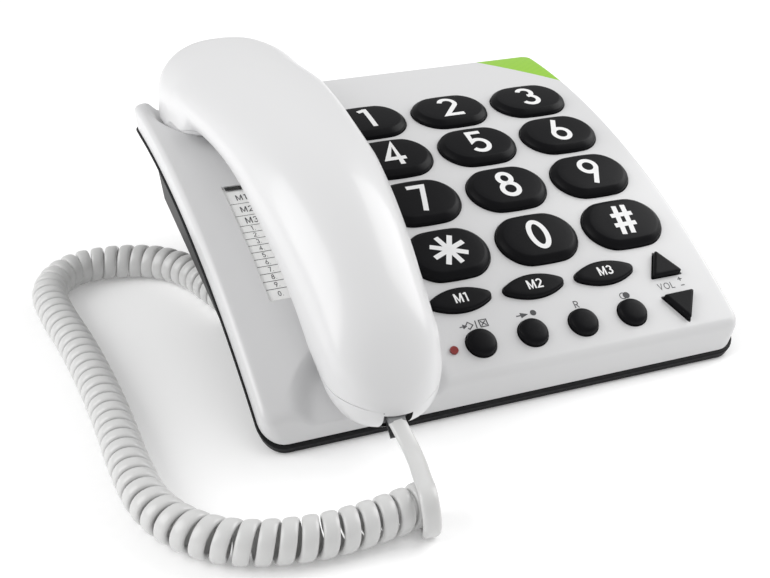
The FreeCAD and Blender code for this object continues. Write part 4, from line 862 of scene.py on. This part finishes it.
GLYPHS = {
    "0": (0.58, [arc(0, 0, 0.22, 0.43, 0, 360, 48)]),
    "1": (0.40, [path((-0.17, 0.35), (0.06, 0.43)), path((0.06, 0.5), (0.06, -0.5))]),
    "2": (
        0.58,
        [np.concatenate([arc(0, 0.2, 0.22, 0.23, 165, -35), path((-0.24, -0.43), (0.28, -0.43))])],
    ),
    "3": (0.56, [arc(-0.02, 0.22, 0.2, 0.21, 160, -90), arc(-0.02, -0.2, 0.23, 0.23, 90, -160)]),
    "4": (0.60, [path((0.1, -0.5), (0.1, 0.46), (-0.25, -0.22), (0.29, -0.22))]),
    "5": (
        0.58,
        [
            np.concatenate(
                [
                    path((0.22, 0.43), (-0.16, 0.43), (-0.18, 0.02)),
                    arc(-0.01, -0.17, 0.25, 0.26, 128, -150),
                ]
            )
        ],
    ),
    "6": (0.58, [arc(0, -0.19, 0.23, 0.24, 0, 360, 44), path((0.06, 0.5), (-0.19, -0.06))]),
    "7": (0.54, [path((-0.25, 0.43), (0.2, 0.43), (-0.04, -0.5))]),
    "8": (0.58, [arc(0, 0.23, 0.18, 0.2, 0, 360, 40), arc(0, -0.2, 0.23, 0.23, 0, 360, 44)]),
    "9": (0.58, [arc(0, 0.19, 0.23, 0.24, 0, 360, 44), path((-0.06, -0.5), (0.19, 0.06))]),
    "*": (0.95, [spoke(22.5), spoke(67.5), spoke(112.5), spoke(157.5)]),
    "#": (
        0.7,
        [
            path((-0.2, -0.5), (-0.06, 0.5)),
            path((0.06, -0.5), (0.2, 0.5)),
            path((-0.3, 0.17), (0.34, 0.17)),
            path((-0.34, -0.17), (0.3, -0.17)),
        ],
    ),
    "M": (
        0.86,
        [
            path((-0.32, -0.5), (-0.32, 0.5)),
            path((-0.3, 0.46), (0, -0.38), (0.3, 0.46)),
            path((0.32, 0.5), (0.32, -0.5)),
        ],
    ),
    "V": (0.72, [path((-0.29, 0.5), (0, -0.44), (0.29, 0.5))]),
    "O": (0.86, [arc(0, 0, 0.36, 0.44, 0, 360, 48)]),
    "L": (0.6, [path((-0.22, 0.5), (-0.22, -0.44), (0.24, -0.44))]),
    "R": (
        0.7,
        [
            np.concatenate(
                [
                    path((-0.22, -0.5), (-0.22, 0.44)),
                    arc(0.04, 0.2, 0.21, 0.24, 90, -90, 16),
                    path((-0.2, -0.04)),
                ]
            ),
            path((0.02, -0.04), (0.26, -0.5)),
        ],
    ),
    "+": (0.7, [path((-0.28, 0), (0.28, 0)), path((0, -0.28), (0, 0.28))]),
    "-": (0.6, [path((-0.24, 0), (0.24, 0))]),
    ".": (0.26, [path((-0.05, -0.44), (0.05, -0.44))]),
}
print(f"signs: {len(GLYPHS)} drawn")

# %% [markdown]
# A stroke becomes a flat strip: pairs of points to the left and right of the line. At a turn the
# two sides are mitred, as a picture frame is, so that the width stays even.

# %% Strokes to strips


def stroke(points, width):
    """A flat strip of even width along a line. At each point the strip reaches half the width
    over the cosine of half the turn, and a closed line joins up."""
    closed = np.linalg.norm(points[0] - points[-1]) < 1e-6
    if closed:
        points = points[:-1]
    ahead = unit(np.roll(points, -1, axis=0) - points)
    behind = np.roll(ahead, 1, axis=0)
    if not closed:
        ahead[-1], behind[0] = behind[-1], ahead[0]
    both = ahead + behind
    normal = unit(np.column_stack([-both[:, 1], both[:, 0]]))
    straight = np.column_stack([-ahead[:, 1], ahead[:, 0]])
    slant = np.maximum((normal * straight).sum(1), 0.3)
    reach = np.minimum(1 / slant, 2.2)[:, None] * width / 2
    sides = np.stack([points + normal * reach, points - normal * reach], axis=1)
    return np.concatenate([sides, sides[:1]]) if closed else sides


def text_strips(text, height, weight, gap=0.16):
    """The strips of a line of text, centred on its own middle. Weight and gap are shares of the
    height."""
    total = sum(GLYPHS[letter][0] for letter in text) + gap * (len(text) - 1)
    strips, left = [], -total / 2
    for letter in text:
        wide, lines = GLYPHS[letter]
        middle = left + wide / 2
        strips += [stroke((points + (middle, 0)) * height, weight * height) for points in lines]
        left += wide + gap
    return strips


def solid_strips(outlines):
    """Filled convex shapes. Corners run counterclockwise and are even in number, and they are
    paired from the last and the first inwards."""
    result = []
    for outline in outlines:
        outline = np.asarray(outline, float)
        half = len(outline) // 2
        result.append(np.stack([outline[::-1][:half], outline[:half]], axis=1))
    return result


def divided(strip, step):
    """A strip with more pairs in between, so that it can follow a curved surface. A long piece
    is cut into as many equal parts as whole steps fit in it."""
    reach = np.linalg.norm(np.diff(strip, axis=0), axis=2).max(1)
    parts = np.maximum((reach / step).astype(int), 1)
    shares = [number + np.arange(1, count + 1) / count for number, count in enumerate(parts)]
    places = np.concatenate([[0.0], *shares])
    columns = strip.reshape(len(strip), 4).T
    fine = [np.interp(places, np.arange(len(strip)), column) for column in columns]
    return np.stack(fine, axis=1).reshape(-1, 2, 2)


def sign(name, strips, place, look, body, step=1.2):
    """Lay flat strips on a surface, which a place function gives for each pair (u, v)."""
    parts = []
    for strip in strips:
        fine = divided(strip, step)
        low = 2 * np.arange(len(fine) - 1)[:, None]
        corners = place(fine[..., 0].ravel(), fine[..., 1].ravel())
        parts.append((corners, (low + [0, 1, 3, 2]).tolist()))
    return new_object(name, *joined(parts), look, body, smooth=False)


print("the digit 8 takes", sum(len(strip) for strip in text_strips("8", 15, 0.15)), "pairs")

# %% [markdown]
# White signs sit on the black keys, a hair above the domed top so that the two surfaces don't
# flicker into each other. They ride with their key.

# %% Signs on the keys
KEY_SIGN_LIFT = 0.05
DIAL_HEIGHT, DIAL_WEIGHT = 15.2, 0.142
MEMORY_HEIGHT, MEMORY_WEIGHT = 4.2, 0.16
KEY_TEXT = {"star": "*", "hash": "#"}


def on_key(kind, x, angle):
    """A place function just above a key's top."""
    top = FORMS[kind][2]
    return lambda u, v: on_plane(x, angle, u, v, top(u, v) + KEY_SIGN_LIFT)


marked = 0
for name, kind, x, angle in KEYS:
    label = name.split("_")[-1]
    if kind == "dial":
        strips = text_strips(KEY_TEXT.get(label, label), DIAL_HEIGHT, DIAL_WEIGHT)
    elif kind == "memory":
        strips = text_strips("M" + label, MEMORY_HEIGHT, MEMORY_WEIGHT, gap=0.1)
    else:
        continue
    sign(f"sign_{name}", strips, on_key(kind, x, angle), print_white, name)
    marked += 1
print(f"keys with a sign: {marked}")

# %% [markdown]
# Above the small keys the base carries dark signs: a word for the volume, a plus and a minus, a
# letter, and three drawn symbols. They are printed on the shell and belong to it.

# %% Signs on the base


def on_shell(x, place_along, h=0.06):
    """A place function on the shell, round a point that is given along the top."""
    angle = crown_angle(place_along)
    return lambda u, v: on_crown(x, angle, u, v, h)


PANEL_WORDS = (
    ("volume", "VOL", 3.0, 0.11, 73.9, 121.0),
    ("plus", "+", 3.4, 0.12, 81.0, 119.0),
    ("minus", "-", 3.4, 0.12, 81.0, 122.0),
    ("recall", "R", 3.2, 0.12, 33.4, 121.3),
)
for name, text, height, weight, x, along in PANEL_WORDS:
    sign(f"sign_{name}", text_strips(text, height, weight), on_shell(x, along), print_dark, "base")

STORE_LINES = (
    path((-6.2, 0), (-4.6, 0)),
    path((-3.9, -0.05), (-2.5, 1.6), (-0.8, 0), (-2.5, -1.6), (-3.1, -0.9)),
    path((0.3, -1.7), (0.6, 1.7)),
    path((2, -1.5), (5, -1.5), (5, 1.5), (2, 1.5), (2, -1.5)),
    path((2.5, -1), (4.5, 1)),
    path((2.5, 1), (4.5, -1)),
)
STORE_ARROW = ((-4.9, -1.1), (-3.2, -0.1), (-3.2, 0.1), (-4.9, 1.1))
strips = [stroke(points, 0.42) for points in STORE_LINES] + solid_strips([STORE_ARROW])
sign("sign_store", strips, on_shell(-9.4, 121.4), print_dark, "base")

REDIAL_ARROW = ((-2.8, -1.2), (0.2, -0.1), (0.2, 0.1), (-2.8, 1.2))
strips = [stroke(path((-4.6, 0), (-2.4, 0)), 0.45)]
strips += solid_strips([REDIAL_ARROW, disc(0, 1.25, 28) + (2.6, 0.2)])
sign("sign_redial", strips, on_shell(12.4, 121.4), print_dark, "base")

strips = [stroke(arc(-0.7, 0, 1.35, 1.35, 0, 360, 32), 0.35)]
strips += solid_strips([disc(0, 1.45, 28) + (0.7, 0)])
sign("sign_mute", strips, on_shell(54.7, 121.6), print_dark, "base")
print(f"signs on the base: {len(PANEL_WORDS) + 3}")

# %% [markdown]
# Under the handset lies a paper list for names, with three tall rows for the memory keys and ten
# low ones. A clear cover keeps it in place, and a slot at its back, painted near-black as shade,
# lets a finger lift the cover. The paper is a thin slab just below the cover, because two faces in
# the same place would fight. Lines and text are strips again, laid at the cover's depth.

# %% Name list
PAPER_EDGES = (-80.5, -33.5, -49.5, 10.5)
SLOT_EDGES = (-79.6, -45.0, 8.4, 10.3)
CARD_DEPTH = 0.9
LIST_TOP, LIST_BOTTOM = 7.6, -48.6
ROWS = [0.5, -6.6, -12.2] + [-12.2 - 3.53 * n for n in range(1, 10)]


def on_card(x, y):
    """A place function at the card's depth below the drum."""
    return np.stack([x, y, crown_height(y, CARD_DEPTH)], axis=-1)


slab = closed_tube(card_sheet(CARD_DEPTH + 0.3, CARD_DEPTH + 0.06, PAPER_EDGES))
card = new_object("paper_card", *slab, paper, "base", smooth=False)
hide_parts("name_card")

strips = [stroke(path((-80.2, y), (-34.0, y)), 0.24) for y in ROWS]
sign("card_lines", strips, on_card, print_dark, "base", step=4)

strips = []
for number, (high, low) in enumerate(zip([LIST_TOP] + ROWS, ROWS + [LIST_BOTTOM])):
    tall = number < 3
    text = f"M{number + 1}" if tall else f"{(number - 2) % 10}."
    place = (-74.6, (high + low) / 2) if tall else (-75.4, (high + low) / 2 + 0.1)
    height = 3.3 if tall else 2.2
    strips += [strip + place for strip in text_strips(text, height, 0.12, gap=0.12)]
sign("card_text", strips, on_card, print_dark, "base", step=4)

# painted shade: a thin near-black slab where the finger slot's shade falls
slab = closed_tube(card_sheet(0.35, 0.2, SLOT_EDGES, rows=6))
slot = new_object("card_slot", *slab, painted_hollow_shade, "base", smooth=False)
print(f"name list: {len(ROWS) + 1} rows")

# %% [markdown]
# The handset is one smooth skin that arches from ear to mouth. Modelling it from a box would take
# many turns of smoothing to look this even. Instead it has a curve for its top, one for its
# underside, one for its width and one for its middle, and each section is drawn between them.

# %% Long curves of the handset
FRONT_END, BACK_END = -113.2, 102.5
EAR_FRONT, MOUTH_BACK = 58.0, -78.0
EAR_DEPTH, MOUTH_DEPTH, GRIP_LIFT = 4.7, 3.7, 16.0


def handset_top(y):
    """Two circles that meet with the same slope: a long one over the grip and ear, and a short
    one over the mouth."""
    y = np.asarray(y, float)
    crest_y, crest_z, radius, bend, short = 58.0, 97.4 - 704.0, 704.0, -20.0, 125.5
    lean = math.asin((bend - crest_y) / radius)
    centre_y = crest_y + (radius - short) * math.sin(lean)
    centre_z = crest_z + (radius - short) * math.cos(lean)
    far = crest_z + np.sqrt(radius**2 - (y - crest_y) ** 2)
    near = centre_z + np.sqrt(np.maximum(short**2 - (y - centre_y) ** 2, 0))
    return np.where(y > bend, far, near)


def handset_bottom(y):
    """The underside follows the rests at both ends. In between it arches up by the sine of the
    way from ear to mouth, raised to 0.8."""
    y = np.asarray(y, float)
    share = np.clip((EAR_FRONT - y) / (EAR_FRONT - MOUTH_BACK), 0, 1)
    depth = EAR_DEPTH + (MOUTH_DEPTH - EAR_DEPTH) * share
    low = crown_height(y, depth) + GRIP_LIFT * np.sin(math.pi * share) ** 0.8
    return np.where(y < MOUTH_BACK, np.maximum(low, 10.4), low)


def handset_half_width(y):
    """Half the width: it grows in a straight line from the mouth to the grip, and then as a
    smooth step to the ear."""
    y = np.asarray(y, float)
    front = 21.4 + 4.4 * np.clip((y + 92) / 62, 0, 1)
    back = 25.8 + 5.9 * smooth_step((y + 30) / 96)
    return np.where(y < -30, front, back)


def handset_middle(y):
    """The handset lies a degree askew: its front is 2 mm nearer to the keys than its back."""
    return -55.0 - 2.0 * smooth_step((y + 100) / 180)


ear_width = 2 * float(handset_half_width(70))
print(f"handset: {BACK_END - FRONT_END:.1f} mm long, {ear_width:.1f} mm wide at the ear")

# %% [markdown]
# At the ear the underside ends in a round cup that rests in the dish, and beyond the cup the skin
# draws up in a short wall. The wall is a second surface. Where it lies above the underside it
# takes over, and a soft blend hides the change.

# %% Ear cup
CUP_Y, CUP_RADIUS = 73.0, 31.6


def cup_wall(x, y):
    """Outside the round cup a wall rises from the rest: fast at first, then flattening as one
    less an exponential. Within the cup it lies well below the underside."""
    if y <= 36:
        return -1e3
    out = np.hypot(x, min(y - CUP_Y, 0.0)) - CUP_RADIUS
    outside = 10.0 * (1 - np.exp(-np.maximum(out, 0) / 1.8))
    rise = np.where(out < 0, 6 * np.maximum(out, -1), outside)
    return crown_height(y, EAR_DEPTH) + rise


def softer_max(low, high, blend=0.7):
    """The larger of two values, rounded off where they are within a blend of each other: half
    of their sum and of the root of their difference squared plus the blend squared."""
    return (low + high + np.sqrt((low - high) ** 2 + blend**2)) / 2


wall_height = float(cup_wall(36.0, CUP_Y) - crown_height(CUP_Y, EAR_DEPTH))
print(f"cup wall: {wall_height:.1f} mm high at 36 mm from the middle")

# %% [markdown]
# A section is half a superellipse above and a squarer one below, which gives the flat underside
# and the soft back of a moulded handset. The two halves of the real one meet in a fine groove, so
# two points of each section are sunk a little. Towards both ends everything closes as a quarter
# circle.

# %% Sections of the handset
END_ROUND = {"wide": (20.0, 27.0), "tall": (13.0, 15.0)}
SEAM_PLACES = (-113.2, -100, -78, -50, 40, 60)
SEAM_SHARES = (0.12, 0.25, 0.4, 0.62, 0.62, 0.7)
GROOVE_DEPTH, GROOVE_HALF = 0.5, 0.22


def opened(distance, radius):
    """How far a quarter circle has opened at a distance from its start."""
    return np.sqrt(1 - np.maximum(1 - distance / radius, 0) ** 2)


def section_turns(seam_turn, edge, flat):
    """Angles from straight below to straight above: a few over the flat floor, more up to the
    groove, two for its bottom, and thirty for the upper half."""
    power, start = flat
    floor_turns = -np.arccos(np.linspace(0, start, 12) ** (power / 2))
    side_turns = np.linspace(floor_turns[-1], seam_turn - edge, 15)[1:]
    groove = [seam_turn - edge * 0.8, seam_turn + edge * 0.8]
    upper = np.linspace(seam_turn + edge, math.pi / 2, 30)
    turns = np.concatenate([floor_turns, side_turns, groove, upper])
    return np.clip(turns, -math.pi / 2, math.pi / 2)


def handset_section(y):
    """Half a section from below to above: the width times the cosine and the height times the
    sine, each raised to two over a power that sets how square the section is."""
    distance = min(y - FRONT_END, BACK_END - y)
    back = int(y >= 0)
    ear = float(smooth_step((y - 34) / 24))
    wide = float(handset_half_width(y)) * float(opened(distance, END_ROUND["wide"][back]))
    tall = float(opened(distance, END_ROUND["tall"][back]))
    low, high = float(handset_bottom(y)), float(handset_top(y))
    middle = low + (0.5 - 0.2 * ear) * (high - low)
    drop = (middle - low) * (float(opened(distance, 4.0)) if back else tall)
    rise = (high - middle) * tall
    fuller = 2.5 + 8.5 * ear
    share = np.interp(y, SEAM_PLACES, SEAM_SHARES)
    seam_turn = -math.asin(np.clip(share, 0, 1) ** (fuller / 2))
    edge = GROOVE_HALF / max(drop, 3.0)
    flat = min(0.9, math.cos(seam_turn - edge - 0.2) ** (2 / fuller))
    turns = section_turns(seam_turn, edge, (fuller, flat))
    bulge = np.where(turns > 0, 2.15 + 0.3 * ear, fuller)
    x = wide * np.abs(np.cos(turns)) ** (2 / bulge)
    height = np.where(turns > 0, rise, drop) * np.sign(turns)
    z = middle + height * np.abs(np.sin(turns)) ** (2 / bulge)
    sunk = GROOVE_DEPTH * min(1.0, max(distance - 0.5, 0) / 4) * (1 - ear)
    x[26:28] = np.maximum(x[26:28] - sunk, 0)
    return x, softer_max(z, np.minimum(cup_wall(x, y), middle - 1))


print(f"a section has {len(handset_section(0.0)[0])} points on each side")

# %% [markdown]
# The sections stand close together at both round ends and wider apart along the grip. Each is
# mirrored about the middle, and the stack of rings makes the skin.

# %% Skin of the handset
ENDS = [0.02, 0.12, 0.35, 0.8, 1.5, 2.4, 3.6, 5, 6.8, 9, 11.5, 14.5, 18, 22]
places = [FRONT_END + end for end in ENDS]
places += list(np.linspace(FRONT_END + 26, 34, 80))
places += list(np.linspace(34.8, BACK_END - 26, 54))
places += [BACK_END - end for end in ENDS[::-1]]
rings = []
for y in places:
    x, z = handset_section(y)
    centre = float(handset_middle(y))
    right = np.column_stack([centre + x, np.full(len(x), y), z])
    left = np.column_stack([centre - x, np.full(len(x), y), z])
    rings.append(np.concatenate([right, left[::-1][1:-1]]))
handset = new_object("handset_skin", *closed_tube(rings), white_handset, None, sharp=50)
# a second material slot for the painted shade that the notch leaves on the skin
handset.data.materials.append(painted_hollow_shade)
outward(handset)
print(f"skin: {len(rings)} rings, {len(handset.data.polygons)} faces")

# %% [markdown]
# At the nose the cord's plug goes into a notch in the lower half. The notch is a box that
# leans 30 degrees, as the plug does, and it is cut out like the key holes. The tool's near-black
# material comes along to the faces that it leaves, as painted shade inside the notch.

# %% Notch
EXIT = np.array([HANDSET_X, -113.0, 18.0])
LEAN = math.radians(30)
INTO = np.array([0, math.cos(LEAN), math.sin(LEAN)])
ABOVE = np.array([0, -math.sin(LEAN), math.cos(LEAN)])


def leaning_box(left, right, start, end, low, high):
    """A box along the plug's axis: the exit plus a way in, a way across and a way above."""
    corners = ((left, low), (right, low), (right, high), (left, high))
    rings = [
        [EXIT + along * INTO + (x, 0, 0) + z * ABOVE for x, z in corners] for along in (start, end)
    ]
    return closed_tube(rings)


NOTCH = (-4.4, 6.0, -14, 4.2, -7.0, 1.9)
tool = new_object("notch", *leaning_box(*NOTCH), painted_hollow_shade, None, smooth=False)
outward(tool)
carve(handset, tool)
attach(handset, "handset")
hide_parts("handset_shell", "handset_cover")
print(f"skin with its notch: {len(handset.data.polygons)} faces")

# %% [markdown]
# The plug is a block with a thin neck that the lead hides, and a sprung latch sticks out below
# it. Both are plain boxes here, since little more than their ends can be seen. They ride with
# the handset.

# %% Plug and latch
NECK = (-2.9, 2.9, -0.4, 3.2, -1.25, 1.25)
BLOCK = (-3.8, 3.8, 2.8, 13, -3.1, 1.8)
LATCH = ((4.0, -3.0), (-2.8, -5.2), (-2.8, -6.0), (4.0, -4.0))

boxes = joined([leaning_box(*NECK), leaning_box(*BLOCK)])
plug = new_object("plug_block", *boxes, plug_clear, "handset", smooth=False)
outward(plug)
latch_rows = [
    [EXIT + along * INTO + (x, 0, 0) + z * ABOVE for along, z in LATCH] for x in (-2.2, 0.8)
]
latch = new_object("plug_latch", *closed_tube(latch_rows), under_grey, "handset", smooth=False)
outward(latch)
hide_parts("handset_plug")
print(f"plug: {BLOCK[1] - BLOCK[0]:.1f} mm wide")

# %% [markdown]
# The flat wire is the cord that joins the handset's plug to the base.

print("cord: 2.33 m of wire, from the plug to the base")

# %% [markdown]
# Behind the plug sits its socket. It is a small box, kept within the nose so that none of its
# corners shows through the skin.

# %% Socket in the handset
SOCKET = (-4.5, 4.5, 2.4, 15, -3.9, 2.9)
jack = new_object("plug_socket", *leaning_box(*SOCKET), jack_black, "handset", smooth=False)
outward(jack)
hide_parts("handset_jack")
print(f"socket: {len(jack.data.polygons)} faces")

# %% [markdown]
# Below the ear there are seven small sound holes, and below the mouth three slots. Real holes
# would need another boolean for something that is only seen when the handset is lifted. Near-black
# strips just below the skin stand in for them as painted shade. Seen from below, across runs the
# other way, and that turns the strips' faces down.

# %% Holes and slots below the handset
HOLE_RING = 6.0


def under_handset(x, y):
    """A place function just below the underside. It rises by the fourth power towards the
    sides, as the skin does."""

    def place(u, v):
        height = handset_bottom(y + v) - 0.06 + 0.5 * (u / 24) ** 4
        return np.stack([x - u, y + v, height], axis=-1)

    return place


holes = np.concatenate([[(0.0, 0.0)], HOLE_RING * circle(np.radians(60 * np.arange(6)))])
strips = solid_strips([disc(0, 1.3, 16) + hole for hole in holes])
sign("ear_holes", strips, under_handset(HANDSET_X, 66.0), painted_hollow_shade, "handset", step=3)
strips = [stroke(path((2.4 * n, -2.4), (2.4 * n, 2.4)), 1.0) for n in (-1, 0, 1)]
sign("mouth_slots", strips, under_handset(HANDSET_X, -88.0), painted_hollow_shade, "handset", step=3)
print(f"below the handset: {len(holes)} holes and {len(strips)} slots")

# %% [markdown]
# The studio is a plain pale floor and a white surround. The floor glows very slightly, so that it
# comes out nearly white while it still takes the telephone's shadow.

# %% Floor and surround
bpy.ops.mesh.primitive_plane_add(size=6.0, location=(0, 0, 0))
floor = bpy.context.object
floor.name = "floor"
floor.data.materials.append(material("floor_white", (0.95, 0.95, 0.95), 0.7, glow=0.14))

world = bpy.data.worlds.new("world")
bpy.context.scene.world = world
world.use_nodes = True
world.node_tree.nodes["Background"].inputs["Color"].default_value = (1, 1, 1, 1)
world.node_tree.nodes["Background"].inputs["Strength"].default_value = 0.6
print("floor: 6 m wide")

# %% [markdown]
# Two large square lamps stand left and right. Large lamps give soft shadows, and with one a bit
# stronger than the other the curved top keeps its form. The colours are shown as they are, with
# no film curve over them.

# %% Lamps
LAMP_TARGET = (0, 0, 0.02)


def area_light(name, place, size, power):
    """A square lamp that faces the middle of the telephone."""
    lamp = bpy.data.lights.new(name, "AREA")
    lamp.size = size
    lamp.energy = power
    thing = bpy.data.objects.new(name, lamp)
    bpy.context.scene.collection.objects.link(thing)
    thing.location = place
    way = Vector(LAMP_TARGET) - Vector(place)
    thing.rotation_euler = way.to_track_quat("-Z", "Y").to_euler()


area_light("light_left", (-1.0, 0.1, 0.65), 0.9, 7.5)
area_light("light_right", (1.0, 0.05, 0.75), 1.0, 10)
bpy.context.scene.view_settings.view_transform = "Standard"
print("lamps:", len(bpy.data.lights))
